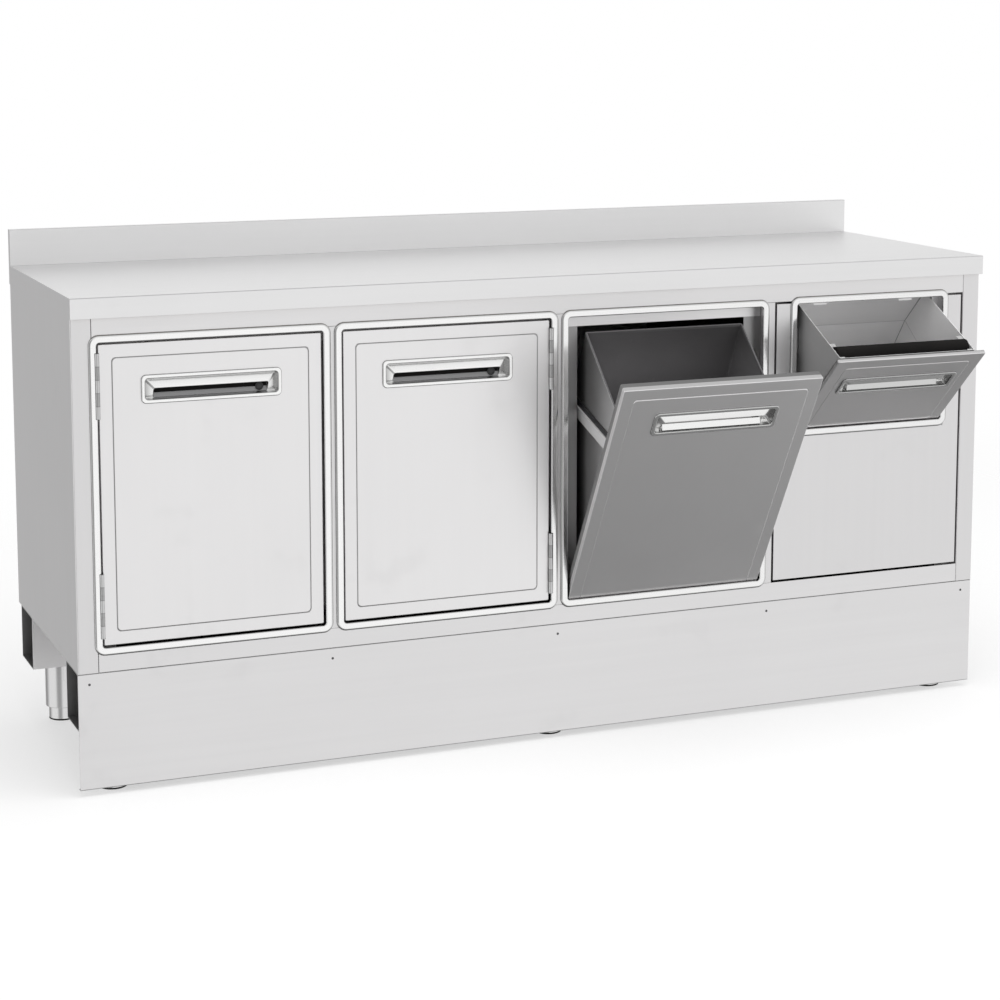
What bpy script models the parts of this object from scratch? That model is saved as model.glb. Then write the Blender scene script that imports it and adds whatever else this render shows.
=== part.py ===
"""A stainless steel back counter that carries a coffee machine, in separate pieces.

Metres. +X runs along the counter, +Y to its back, +Z up, and the feet stand on Z = 0.
Two bays have hinged doors, the third a tilting waste bin and the fourth a blank panel with
a tilting knock drawer. Both tilting pieces are shown tipped open.
"""
import bpy
import bmesh
from math import cos, pi, radians, sin

# Sheet metal and fits
SHEET = 0.0015              # wall of the folded steel pieces
SEAT = 0.0003               # gap where one piece rests on another
EDGE = 0.0015               # softened edge of the pressed fronts
OVERCUT = 0.02              # how far a cutting tool runs past what it cuts
CORNER_STEPS = 4            # facets in a round corner
ROUND_STEPS = 24            # facets round a turned piece

# Overall sizes
LENGTH = 2.000              # over the side panels
DEPTH = 0.600               # body front to back
HEIGHT = 0.970              # floor to worktop surface
BODY_LOW = 0.245            # floor to the underside of the body

# Worktop
WORKTOP_THICK = 0.040
WORKTOP_LIP = 0.012         # past the body at the front
WORKTOP_END_LIP = 0.001     # past the body at each end
UPSTAND_HEIGHT = 0.076
UPSTAND_THICK = 0.018

# Trim frames and the openings behind them
TRIM_WIDTH = 0.014
TRIM_RAISE = 0.004
TRIM_ROUND = 0.0018         # softened front edges of the trim
TRIM_RADIUS = 0.020         # outer corners
TRIM_INNER_RADIUS = 0.007
TRIM_LAP = 0.007            # trim over the edge of the body's opening
END_SHOW = 0.0335           # plain strip between a trim and the counter's end
RAIL_SHOW = 0.0325          # plain strip above and below the trims
MULLION_SHOW = 0.007        # plain strip between two trims
JAMB_REACH = 0.040          # stop strip that a door closes against
JAMB_CLEAR = 0.001          # behind a closed door
JAMB_FOOT = 0.035           # stop strips start this far above the clear opening's sill
HEADER_DROP = 0.031         # stop strip at the top of the openings
PARTITION = 0.002
FLANGE = 0.020              # short stiffening flanges of the rails
REAR_FLANGE = 0.030         # side panels folded round the back
FLOOR_THICK = 0.002

# Doors and tilting fronts
DOOR_GAP = 0.0045           # all round a closed front
DOOR_THICK = 0.022
FACE_BACK = 0.001           # closed front behind the body's front plane
PANEL_RADIUS = 0.003
LINE_INSET = 0.0255         # pressed line, from the front's edge
LINE_WIDTH = 0.003
LINE_DEPTH = 0.0008
LINE_RADIUS = 0.008
PAN_THICK = 0.0025

# Recessed pull handle
HANDLE_WIDTH = 0.278
HANDLE_HEIGHT = 0.056
HANDLE_RADIUS = 0.010
HANDLE_DROP = 0.0625        # front's top edge to the handle's top edge
HANDLE_FLANGE = 0.003
HANDLE_RIM = 0.008          # flat rim round the mouth
HANDLE_WALL = 0.0012
HANDLE_DEPTH = 0.014
SLOT_HEIGHT = 0.019         # floor of the finger recess
SLOT_INSET = 0.019          # recess floor shorter than the mouth at each end
SLOT_LIP = 0.003            # recess floor above the mouth's lower edge

# Door hinges
HINGE_HEIGHT = 0.126
HINGE_INSET = 0.016         # hinge from the door's top or bottom edge
BARREL_RADIUS = 0.0042
HINGE_PIN_RADIUS = 0.0020
HINGE_FIT = 0.0004          # running gap round the pin and between the knuckles
LEAF_FIT = 0.0005           # each leaf from the hinge's middle plane
LEAF_DEPTH = 0.020          # leaf behind the body's front plane

# Tilting waste bin
BIN_TILT = radians(29.2)
BIN_PIVOT_DEPTH = 0.075     # pivot behind the front's face
BIN_PIVOT_RISE = 0.018      # pivot above the front's bottom edge
BIN_SIDE_CLEAR = 0.008      # tub from the stop strips
TUB_BACK_LOW = 0.255        # tub's back at its bottom, from the front's face
TUB_BACK_HIGH = 0.280       # and at its rim
TUB_LOW = 0.006
TUB_RIM_FRONT = 0.455
TUB_RIM_BACK = 0.519
TUB_RADIUS = 0.005
LINER_WALL = 0.003
LINER_CLEAR = 0.0009
LINER_DROP = 0.005          # liner's rim below the tub's rim
BIN_PIN_RADIUS = 0.005
BIN_PIN_LENGTH = 0.036
BOSS_WALL = 0.008
PIVOT_FIT = 0.0004
BOSS_CLEAR = 0.004          # boss from the tub's side
ARM_THICK = 0.0025
ARM_HEIGHT = 0.026
ARM_FRONT_RISE = 0.427      # arm's top edge at the front, from the front's bottom edge
ARM_BACK_RISE = 0.374       # and at its back end
ARM_BACK = 0.245

# Tilting knock drawer
DRAWER_TILT = radians(46.4)
DRAWER_SIDE = 0.044         # bay's clear edge to the drawer's clear edge
DRAWER_HEIGHT = 0.273       # clear opening inside its trim
DRAWER_LIFT = 0.002         # clear top above the other openings
DRAWER_GAP = 0.003          # beside the drawer's front
DRAWER_END_GAP = 0.004      # above and below it
DRAWER_THICK = 0.017
DRAWER_TOP_FLANGE = 0.008   # front's top flange, shorter than the others
DRAWER_PIVOT_DEPTH = 0.026
DRAWER_PIVOT_RISE = 0.010
DRAWER_SILL_LAP = 0.0125    # panel's cut-out below the clear opening
BOX_INSET = 0.0105          # box narrower than its front at each side
BOX_BACK_LOW = 0.217        # box's back at its bottom, from the front's face
BOX_BACK_HIGH = 0.230       # and from its fold up to its rim
BOX_FOLD_RISE = 0.072
BOX_LOW = 0.002
BOX_RIM_FRONT = 0.254
BOX_RIM_BACK = 0.179
BOX_RADIUS = 0.003
DRAWER_PIN_RADIUS = 0.004
EAR_THICK = 0.003
EAR_CLEAR = 0.0025          # ear from the drawer's front
EAR_MARGIN = 0.012          # metal round the ear's hole
EAR_FLANGE = 0.024
KNOCK_RADIUS = 0.014
KNOCK_BACK = 0.004          # bar from the box's front wall
KNOCK_DROP = 0.012          # bar's middle below the rim
PANEL_GAP = 0.0035          # round the blank panel

# Base
PLINTH_LOW = 0.014
PLINTH_BACK = 0.0025        # plinth behind the body's front plane
PLINTH_HEM = 0.012
CHANNEL_DEPTH = 0.105
CHANNEL_HEIGHT = 0.1135
REAR_CHANNEL_DEPTH = 0.116
REAR_CHANNEL_HEIGHT = 0.111
REAR_CHANNEL_INSET = 0.030  # rear channel in front of the body's back
CHANNEL_WALL = 0.002
LEG_RADIUS = 0.035
LEG_WALL = 0.0055
LEG_CAP = 0.004
LEG_LOW = 0.029
LEG_END = 0.075             # outer legs from the counter's ends
FOOT_FIT = 0.001            # foot inside the leg's tube
FOOT_SLEEVE = 0.050         # length of foot inside the leg

# Colour, roughness and metallic value of each finish
LOOKS = {
    "sheet_steel": ((0.74, 0.74, 0.73), 0.34, 1.0),
    "worktop_steel": ((0.68, 0.68, 0.68), 0.30, 1.0),
    "polished_steel": ((0.83, 0.83, 0.83), 0.15, 1.0),
    "core_board": ((0.48, 0.36, 0.23), 0.80, 0.0),
    "dark_plastic": ((0.045, 0.043, 0.043), 0.50, 0.0),
    "black_rubber": ((0.015, 0.015, 0.015), 0.60, 0.0),
}

# Places worked out from the sizes
UNDER_TOP = HEIGHT - WORKTOP_THICK
BAY_COUNT = 4
MULLION = 2 * TRIM_WIDTH + MULLION_SHOW
END_STILE = TRIM_WIDTH + END_SHOW
RAIL_STILE = TRIM_WIDTH + RAIL_SHOW
BAY_WIDTH = (LENGTH - 2 * END_STILE - (BAY_COUNT - 1) * MULLION) / BAY_COUNT
BAY_PITCH = BAY_WIDTH + MULLION
BAY_X = [(bay - (BAY_COUNT - 1) / 2) * BAY_PITCH for bay in range(BAY_COUNT)]
PARTITION_X = [(left + right) / 2 for left, right in zip(BAY_X, BAY_X[1:])]
BAY_LOW = BODY_LOW + RAIL_STILE
BAY_HIGH = UNDER_TOP - RAIL_STILE
OPEN_HALF = BAY_WIDTH / 2 + TRIM_LAP
OPEN_LOW = BAY_LOW - TRIM_LAP
OPEN_HIGH = BAY_HIGH + TRIM_LAP
FRONT_WIDTH = BAY_WIDTH - 2 * DOOR_GAP
FRONT_LOW = BAY_LOW + DOOR_GAP
FRONT_HEIGHT = BAY_HIGH - BAY_LOW - 2 * DOOR_GAP
HEADER_SETBACK = FACE_BACK + DOOR_THICK + JAMB_CLEAR
JAMB_SETBACK = HEADER_SETBACK + SHEET + SEAT
JAMB_HALF = OPEN_HALF - JAMB_REACH
FLOOR_TOP = BODY_LOW + SEAT + FLOOR_THICK

# How far the tipped bin stands out of the body, which sets the middle of the whole footprint
BIN_REACH = (BIN_PIVOT_DEPTH * cos(BIN_TILT) - BIN_PIVOT_DEPTH - FACE_BACK
             + (FRONT_HEIGHT - BIN_PIVOT_RISE - EDGE) * sin(BIN_TILT))
FRONT = (BIN_REACH - DEPTH) / 2
BACK = FRONT + DEPTH
BACK_PANEL = BACK - 2 * SHEET - SEAT
TUB_HALF = JAMB_HALF - BIN_SIDE_CLEAR

DRAWER_X = BAY_X[3]
DRAWER_CLEAR_HIGH = BAY_HIGH + DRAWER_LIFT
DRAWER_CLEAR_LOW = DRAWER_CLEAR_HIGH - DRAWER_HEIGHT
DRAWER_CLEAR_WIDTH = BAY_WIDTH - 2 * DRAWER_SIDE
DRAWER_FRONT_WIDTH = DRAWER_CLEAR_WIDTH - 2 * DRAWER_GAP
DRAWER_FRONT_HEIGHT = DRAWER_HEIGHT - 2 * DRAWER_END_GAP
DRAWER_FRONT_LOW = DRAWER_CLEAR_LOW + DRAWER_END_GAP
BOX_HALF = DRAWER_FRONT_WIDTH / 2 - BOX_INSET
EAR_X = DRAWER_FRONT_WIDTH / 2 + EAR_CLEAR

HINGE_AXIS_Y = FRONT + FACE_BACK - SEAT - BARREL_RADIUS
CHANNEL_FRONT = FRONT + PLINTH_BACK + SHEET + SEAT
LEG_X = [-LENGTH / 2 + LEG_END, 0, LENGTH / 2 - LEG_END]
FRONT_LEG_Y = CHANNEL_FRONT + CHANNEL_DEPTH / 2
REAR_CHANNEL_BACK = BACK - REAR_CHANNEL_INSET
REAR_LEG_Y = REAR_CHANNEL_BACK - LEG_RADIUS


def clear_scene():
    """Removes whatever the scene holds."""
    for item in list(bpy.data.objects):
        bpy.data.objects.remove(item, do_unlink=True)


def finish(name, look):
    """A Principled BSDF material of one of the finishes."""
    colour, roughness, metallic = LOOKS[look]
    material = bpy.data.materials.new(name)
    material.use_nodes = True
    shader = material.node_tree.nodes["Principled BSDF"]
    shader.inputs["Base Color"].default_value = (*colour, 1.0)
    shader.inputs["Roughness"].default_value = roughness
    shader.inputs["Metallic"].default_value = metallic
    return material


def add_object(name, shape, parent, place):
    """Puts a bmesh into the scene as a named object."""
    mesh = bpy.data.meshes.new(name)
    shape.to_mesh(mesh)
    shape.free()
    obj = bpy.data.objects.new(name, mesh)
    bpy.context.collection.objects.link(obj)
    obj.parent = parent
    obj.location = place
    return obj


def piece(name, shape, look, parent=None, place=(0, 0, 0)):
    """A sub-part with its own finish, smooth where it is round."""
    obj = add_object(name, shape, parent, place)
    obj.data.materials.append(finish(name, look))
    obj.data.shade_smooth()
    obj.data.set_sharp_from_angle(angle=radians(35))
    return obj


def combine(target, shape, operation, parent=None, place=(0, 0, 0)):
    """Joins a hidden tool shape to a piece, or cuts the piece with it."""
    tool = add_object(target.name + "_tool", shape, parent, place)
    tool.hide_render = True
    tool.display_type = "WIRE"
    modifier = target.modifiers.new(operation.lower(), "BOOLEAN")
    modifier.operation = operation
    modifier.object = tool


def pivot(name, place, tilt=0.0):
    """An empty on a joint's axis that carries a moving piece."""
    empty = bpy.data.objects.new(name, None)
    bpy.context.collection.objects.link(empty)
    empty.location = place
    empty.rotation_euler.x = tilt
    return empty


def join_loops(loops, ring=False):
    """Skins loops of equally many points in order. A ring closes on its first loop,
    and otherwise the first and last loops are filled."""
    shape = bmesh.new()
    rows = [[shape.verts.new(point) for point in loop] for loop in loops]
    pairs = list(zip(rows, rows[1:]))
    if ring:
        pairs.append((rows[-1], rows[0]))
    else:
        shape.faces.new(rows[0])
        shape.faces.new(rows[-1])
    count = len(rows[0])
    for near, far in pairs:
        for index in range(count):
            after = (index + 1) % count
            shape.faces.new((near[index], near[after], far[after], far[index]))
    bmesh.ops.recalc_face_normals(shape, faces=shape.faces)
    return shape


def prism(outline, axis, start, end):
    """A flat outline carried straight along X, Y or Z. The outline's two numbers are the
    other two axes in alphabetical order."""
    def at(point, along):
        place = list(point)
        place.insert("XYZ".index(axis), along)
        return place
    return join_loops([[at(point, along) for point in outline] for along in (start, end)])


def block(low, high):
    """A box between two corners."""
    corners = [(low[0], low[1]), (high[0], low[1]), (high[0], high[1]), (low[0], high[1])]
    return prism(corners, "Z", low[2], high[2])


def rounded_rectangle(width, height, radius, centre=(0, 0)):
    """Outline of a rectangle with round corners, each an arc of equal steps."""
    points = []
    for corner, (side_u, side_v) in enumerate(((1, -1), (1, 1), (-1, 1), (-1, -1))):
        middle_u = centre[0] + side_u * (width / 2 - radius)
        middle_v = centre[1] + side_v * (height / 2 - radius)
        for step in range(CORNER_STEPS + 1):
            turn = (corner - 1 + step / CORNER_STEPS) * pi / 2
            points.append((middle_u + radius * cos(turn), middle_v + radius * sin(turn)))
    return points


def upright_loop(width, height, radius, depth, middle):
    """A rounded rectangle that faces the front: its depth is Y and its middle's height Z."""
    outline = rounded_rectangle(width, height, radius, (0, middle))
    return [(across, depth, up) for across, up in outline]


def circle(radius, along, axis="Z", centre=(0, 0)):
    """A loop of points round an axis, at one place along it."""
    loop = []
    for step in range(ROUND_STEPS):
        turn = 2 * pi * step / ROUND_STEPS
        point = [centre[0] + radius * cos(turn), centre[1] + radius * sin(turn)]
        point.insert("XYZ".index(axis), along)
        loop.append(point)
    return loop


def build_worktop():
    """Folded skin with its upstand, hollow from below, and the core board inside it."""
    half = LENGTH / 2 + WORKTOP_END_LIP
    front = FRONT - WORKTOP_LIP

    def section(inset, low):
        top = HEIGHT - inset
        step = BACK - UPSTAND_THICK + inset
        crest = HEIGHT + UPSTAND_HEIGHT - inset
        return [(front + inset, low), (BACK - inset, low), (BACK - inset, crest),
                (step, crest), (step, top), (front + inset, top)]

    skin = piece("worktop", prism(section(0, UNDER_TOP), "X", -half, half), "worktop_steel")
    hollow = prism(section(SHEET, UNDER_TOP - OVERCUT), "X", -half + SHEET, half - SHEET)
    combine(skin, hollow, "DIFFERENCE")
    inset = SHEET + SEAT
    board = block((-half + inset, front + inset, UNDER_TOP), (half - inset, BACK - inset, HEIGHT - inset))
    piece("worktop_core", board, "core_board")


def build_side_panels():
    """Side walls folded round the front into a strip, a return and a door stop, and round the back."""
    for name, side in (("side_panel_left", -1), ("side_panel_right", 1)):
        outer = LENGTH / 2
        edge = -BAY_X[0] + OPEN_HALF
        stop = FRONT + JAMB_SETBACK
        section = [(outer - REAR_FLANGE, BACK), (outer, BACK), (outer, FRONT), (edge, FRONT), (edge, stop),
                   (edge - JAMB_REACH, stop), (edge - JAMB_REACH, stop + SHEET),
                   (edge + SHEET, stop + SHEET),
                   (edge + SHEET, FRONT + SHEET), (outer - SHEET, FRONT + SHEET),
                   (outer - SHEET, BACK - SHEET), (outer - REAR_FLANGE, BACK - SHEET)]
        outline = [(side * across, along) for across, along in section]
        piece(name, prism(outline, "Z", BODY_LOW, UNDER_TOP - SEAT), "sheet_steel")


def build_partitions():
    """Dividing walls whose folded front edges are the mullions and the stops beside them."""
    strip = MULLION / 2 - TRIM_LAP
    stop = FRONT + JAMB_SETBACK
    half = PARTITION / 2
    right = [(strip, FRONT), (strip, stop), (strip + JAMB_REACH, stop), (strip + JAMB_REACH, stop + SHEET),
             (strip - SHEET, stop + SHEET), (strip - SHEET, FRONT + SHEET), (half, FRONT + SHEET),
             (half, BACK_PANEL - SEAT)]
    left = [(-across, along) for across, along in reversed(right)]
    behind = stop + SHEET + SEAT
    reach = strip + JAMB_REACH + OVERCUT
    for number, middle in enumerate(PARTITION_X, start=1):
        outline = [(middle + across, along) for across, along in right + left]
        wall = piece("partition_%d" % number,
                     prism(outline, "Z", FLOOR_TOP + SEAT, UNDER_TOP - SEAT), "sheet_steel")
        above = block((middle - reach, FRONT - OVERCUT, OPEN_HIGH - 2 * SEAT),
                      (middle + reach, behind, HEIGHT))
        combine(wall, above, "DIFFERENCE")
        below = block((middle - reach, FRONT - OVERCUT, 0), (middle + reach, behind, OPEN_LOW + SEAT))
        combine(wall, below, "DIFFERENCE")
        for side in (-1, 1):
            near, far = sorted((middle + side * (strip + SEAT), middle + side * reach))
            foot = block((near, FRONT - OVERCUT, OPEN_LOW), (far, behind, BAY_LOW + JAMB_FOOT))
            combine(wall, foot, "DIFFERENCE")


def build_body():
    """Rails between the side panels, and the floor and back of the cabinet."""
    half = -BAY_X[0] + OPEN_HALF - SEAT
    top = UNDER_TOP - SEAT
    header = FRONT + HEADER_SETBACK
    header_low = OPEN_HIGH - HEADER_DROP
    section = [(FRONT + FLANGE, top), (FRONT, top), (FRONT, OPEN_HIGH), (header, OPEN_HIGH),
               (header, header_low),
               (header + SHEET, header_low), (header + SHEET, OPEN_HIGH + SHEET),
               (FRONT + SHEET, OPEN_HIGH + SHEET), (FRONT + SHEET, top - SHEET),
               (FRONT + FLANGE, top - SHEET)]
    rail = piece("top_rail", prism(section, "X", -half, half), "sheet_steel")
    strip = MULLION / 2 - TRIM_LAP + 2 * SEAT
    notches = [(middle - strip, middle + strip) for middle in PARTITION_X[:2]]
    notches.append((PARTITION_X[2] - strip, half + OVERCUT))
    for left, right in notches:
        notch = block((left, header - SEAT, header_low - OVERCUT),
                      (right, header + SHEET + OVERCUT, OPEN_HIGH - SEAT))
        combine(rail, notch, "DIFFERENCE")

    section = [(FRONT, OPEN_LOW), (FRONT, BODY_LOW), (FRONT + FLANGE, BODY_LOW),
               (FRONT + FLANGE, BODY_LOW + SHEET), (FRONT + SHEET, BODY_LOW + SHEET),
               (FRONT + SHEET, OPEN_LOW)]
    piece("bottom_rail", prism(section, "X", -half, half), "sheet_steel")

    inside = LENGTH / 2 - SHEET - SEAT
    behind = FRONT + JAMB_SETBACK + SHEET + SEAT
    floor = block((-inside, behind, BODY_LOW + SEAT), (inside, BACK_PANEL - SEAT, FLOOR_TOP))
    piece("floor_panel", floor, "sheet_steel")
    back = block((-inside, BACK_PANEL, BODY_LOW + SEAT), (inside, BACK_PANEL + SHEET, top))
    piece("back_panel", back, "sheet_steel")


def trim_shape(width, height, middle_x, middle_z):
    """A raised frame with round corners and softened front edges round a clear opening."""
    outer = 2 * TRIM_WIDTH
    front = FRONT - TRIM_RAISE
    back = FRONT - SEAT

    def at(extra, radius, depth):
        loop = upright_loop(width + extra, height + extra, radius, depth, middle_z)
        return [(across + middle_x, along, up) for across, along, up in loop]

    soft = 2 * TRIM_ROUND
    return join_loops([at(outer, TRIM_RADIUS, back), at(outer, TRIM_RADIUS, front + TRIM_ROUND),
                       at(outer - soft, TRIM_RADIUS - TRIM_ROUND, front),
                       at(soft, TRIM_INNER_RADIUS + TRIM_ROUND, front),
                       at(0, TRIM_INNER_RADIUS, front + TRIM_ROUND),
                       at(0, TRIM_INNER_RADIUS, back)], ring=True)


def hinge_spans():
    """Lowest and highest place of a door's two hinges."""
    low = FRONT_LOW + HINGE_INSET
    high = FRONT_LOW + FRONT_HEIGHT - HINGE_INSET - HINGE_HEIGHT
    return {"bottom": (low, low + HINGE_HEIGHT), "top": (high, high + HINGE_HEIGHT)}


def build_trims():
    """One trim for each bay, notched for the hinge barrels where it carries a door."""
    middle_z = (BAY_LOW + BAY_HIGH) / 2
    for bay, side in ((0, -1), (1, 1), (2, 0)):
        shape = trim_shape(BAY_WIDTH, BAY_HIGH - BAY_LOW, BAY_X[bay], middle_z)
        trim = piece("trim_frame_%d" % (bay + 1), shape, "polished_steel")
        if side:
            axis_x = BAY_X[bay] + side * (BAY_WIDTH - DOOR_GAP) / 2
            for low, high in hinge_spans().values():
                reach = BARREL_RADIUS + LEAF_FIT
                notch = block((axis_x - reach, FRONT - TRIM_RAISE - OVERCUT, low - LEAF_FIT),
                              (axis_x + reach, FRONT + OVERCUT, high + LEAF_FIT))
                combine(trim, notch, "DIFFERENCE")
    drawer_z = (DRAWER_CLEAR_LOW + DRAWER_CLEAR_HIGH) / 2
    shape = trim_shape(DRAWER_CLEAR_WIDTH, DRAWER_HEIGHT, DRAWER_X, drawer_z)
    piece("trim_frame_drawer", shape, "polished_steel")


def build_blank_panel():
    """Removable panel of the fourth bay, cut out for the drawer and flanged all round."""
    half = OPEN_HALF - PANEL_GAP
    low = OPEN_LOW + PANEL_GAP
    high = OPEN_HIGH - PANEL_GAP
    cut = DRAWER_CLEAR_WIDTH / 2 + TRIM_LAP
    sill = DRAWER_CLEAR_LOW - DRAWER_SILL_LAP
    outline = [(-half, low), (half, low), (half, high), (cut, high), (cut, sill), (-cut, sill),
               (-cut, high), (-half, high)]
    outline = [(DRAWER_X + across, up) for across, up in outline]
    panel = piece("blank_panel", prism(outline, "Y", FRONT, FRONT + JAMB_SETBACK - SEAT), "sheet_steel")
    hollow = block((DRAWER_X - half + SHEET, FRONT + SHEET, low + SHEET),
                   (DRAWER_X + half - SHEET, FRONT + JAMB_SETBACK + OVERCUT, high - SHEET))
    combine(panel, hollow, "DIFFERENCE")


def build_front(prefix, parent, place, width, height, thick):
    """A pressed front with its line and handle. Its face's bottom middle is at the given place.
    Returns the front."""
    middle = height / 2
    grip = height - HANDLE_DROP - HANDLE_HEIGHT / 2
    mouth_width = HANDLE_WIDTH - 2 * HANDLE_RIM
    mouth_height = HANDLE_HEIGHT - 2 * HANDLE_RIM
    neck = 2 * HANDLE_WALL
    mouth_radius = HANDLE_RADIUS - HANDLE_RIM / 2

    def face_loop(inset, radius, depth):
        return upright_loop(width - 2 * inset, height - 2 * inset, radius, depth, middle)

    def grip_loop(extra, radius, depth):
        return upright_loop(mouth_width + extra, mouth_height + extra, radius, depth, grip)

    hole = neck + 2 * SEAT
    inner = LINE_INSET + LINE_WIDTH
    shell = join_loops([
        grip_loop(hole, mouth_radius, SHEET), grip_loop(hole, mouth_radius, 0),
        face_loop(inner, LINE_RADIUS, 0), face_loop(inner - LINE_WIDTH / 2, LINE_RADIUS, LINE_DEPTH),
        face_loop(LINE_INSET, LINE_RADIUS, 0), face_loop(EDGE, PANEL_RADIUS, 0),
        face_loop(0, PANEL_RADIUS, EDGE), face_loop(0, PANEL_RADIUS, thick),
        face_loop(SHEET, PANEL_RADIUS - SHEET / 2, thick),
        face_loop(SHEET, PANEL_RADIUS - SHEET / 2, SHEET),
    ], ring=True)
    face = piece(prefix + "_front", shell, "sheet_steel", parent, place)

    flange = 2 * HANDLE_RIM
    slot_width = mouth_width - 2 * SLOT_INSET
    slot_middle = grip - mouth_height / 2 + SLOT_LIP + SLOT_HEIGHT / 2
    slot_radius = SLOT_LIP

    def slot_loop(extra, depth):
        return upright_loop(slot_width + extra, SLOT_HEIGHT + extra, slot_radius, depth, slot_middle)

    handle = join_loops([
        slot_loop(neck, HANDLE_DEPTH + HANDLE_WALL), grip_loop(neck, mouth_radius, SHEET + SEAT),
        grip_loop(neck, mouth_radius, -SEAT), grip_loop(flange, HANDLE_RADIUS, -SEAT),
        grip_loop(flange, HANDLE_RADIUS, -HANDLE_FLANGE + EDGE),
        grip_loop(flange - 2 * EDGE, HANDLE_RADIUS - EDGE, -HANDLE_FLANGE),
        grip_loop(2 * EDGE, mouth_radius + EDGE, -HANDLE_FLANGE),
        grip_loop(0, mouth_radius, -HANDLE_FLANGE + EDGE), slot_loop(0, HANDLE_DEPTH),
    ])
    piece(prefix + "_handle", handle, "polished_steel", parent, place)
    return face


def build_pan(prefix, parent, place, width, height, thick):
    """Flat pan that closes the back of a pressed front."""
    inset = 2 * (SHEET + SEAT)
    loops = [upright_loop(width - inset, height - inset, PANEL_RADIUS - SHEET, depth, height / 2)
             for depth in (thick - PAN_THICK, thick)]
    piece(prefix + "_inner_pan", join_loops(loops), "sheet_steel", parent, place)


def leaf_outline(low, high, tabs):
    """Side outline of a hinge leaf: a plate behind the barrel, with tabs that reach to it.
    The upper tab comes first."""
    plate = HINGE_AXIS_Y + BARREL_RADIUS + HINGE_FIT
    back = FRONT + LEAF_DEPTH
    points = [(back, low), (back, high), (plate, high)]
    for tab_low, tab_high, reach in tabs:
        points += [(plate, tab_high), (reach, tab_high), (reach, tab_low), (plate, tab_low)]
    points.append((plate, low))
    return [point for index, point in enumerate(points) if point != points[index - 1]]


def build_hinge(prefix, carrier, axis_x, side, low, high, key):
    """A butt hinge of three knuckles: the fixed leaf holds the pin, the moving leaf turns on it.
    The leaves are built where they stand, the moving one about the door's axis."""
    third = (high - low) / 3
    lower, upper = low + third, high - third
    leaf = DOOR_GAP / 2 - SEAT

    def slab(outline, near, far):
        first, last = sorted((axis_x + side * near, axis_x + side * far))
        return prism(outline, "X", first, last)

    def ring(radius, height):
        return circle(radius, height, "Z", (axis_x, HINGE_AXIS_Y))

    fixed = piece("%s_hinge_fixed_%s" % (prefix, key), join_loops([
        ring(BARREL_RADIUS, low), ring(BARREL_RADIUS, lower - HINGE_FIT),
        ring(HINGE_PIN_RADIUS, lower - HINGE_FIT), ring(HINGE_PIN_RADIUS, upper + HINGE_FIT),
        ring(BARREL_RADIUS, upper + HINGE_FIT), ring(BARREL_RADIUS, high),
    ]), "polished_steel")
    tabs = [(upper + HINGE_FIT, high, HINGE_AXIS_Y), (low, lower - HINGE_FIT, HINGE_AXIS_Y)]
    combine(fixed, slab(leaf_outline(low, high, tabs), LEAF_FIT, leaf), "UNION")
    pad = [(FRONT + 2 * SHEET, low), (FRONT + LEAF_DEPTH, low), (FRONT + LEAF_DEPTH, high),
           (FRONT + 2 * SHEET, high)]
    combine(fixed, slab(pad, LEAF_FIT, DOOR_GAP / 2 + TRIM_LAP - SEAT), "UNION")

    offset = [-value for value in carrier.location]
    bore = HINGE_PIN_RADIUS + HINGE_FIT
    moving = piece("%s_hinge_leaf_%s" % (prefix, key), join_loops([
        ring(bore, lower), ring(BARREL_RADIUS, lower), ring(BARREL_RADIUS, upper), ring(bore, upper),
    ], ring=True), "polished_steel", carrier, offset)
    grip = HINGE_AXIS_Y + (bore + BARREL_RADIUS) / 2
    outline = leaf_outline(low, high, [(lower, upper, grip)])
    combine(moving, slab(outline, -leaf, -LEAF_FIT), "UNION", carrier, offset)


def build_doors():
    """The left door hangs at its left edge and the second door at its right edge."""
    for number, side in ((1, -1), (2, 1)):
        prefix = "door_%d" % number
        middle = BAY_X[number - 1]
        axis_x = middle + side * (BAY_WIDTH - DOOR_GAP) / 2
        carrier = pivot(prefix + "_axis", (axis_x, HINGE_AXIS_Y, FRONT_LOW))
        place = (middle - axis_x, FRONT + FACE_BACK - HINGE_AXIS_Y, 0)
        build_front(prefix, carrier, place, FRONT_WIDTH, FRONT_HEIGHT, DOOR_THICK)
        build_pan(prefix, carrier, place, FRONT_WIDTH, FRONT_HEIGHT, DOOR_THICK)
        for key, (low, high) in hinge_spans().items():
            build_hinge(prefix, carrier, axis_x, side, low, high, key)


def tub_shape(half, front, back_low, back_high, low, rim, wall, radius, fold=()):
    """An open tub with a sloping rim. rim gives the rim's height at a place from front to back. fold
    holds the height of each bend across the back wall, above which that wall is upright."""
    def loop(inset, back, height):
        width, depth = 2 * (half - inset), back - front - 2 * inset
        outline = rounded_rectangle(width, depth, radius - inset / 2, (0, (front + back) / 2))
        return [(across, along, height(along)) for across, along in outline]
    inner = [loop(wall, back_low, lambda along: low + wall)]
    outer = [loop(0, back_low, lambda along: low)]
    for rise in fold:
        inner.append(loop(wall, back_high, lambda along: rise))
        outer.append(loop(0, back_high, lambda along: rise))
    inner.append(loop(wall, back_high, rim))
    outer.append(loop(0, back_high, rim))
    return join_loops(inner + outer[::-1])


def add_pins(target, parent, offset, start, end, radius, depth, rise):
    """Two round pins that stand out of a tub's sides on its pivot axis."""
    for side in (-1, 1):
        loops = [circle(radius, side * along, "X", (depth, rise)) for along in (start, end)]
        combine(target, join_loops(loops), "UNION", parent, offset)


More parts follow.
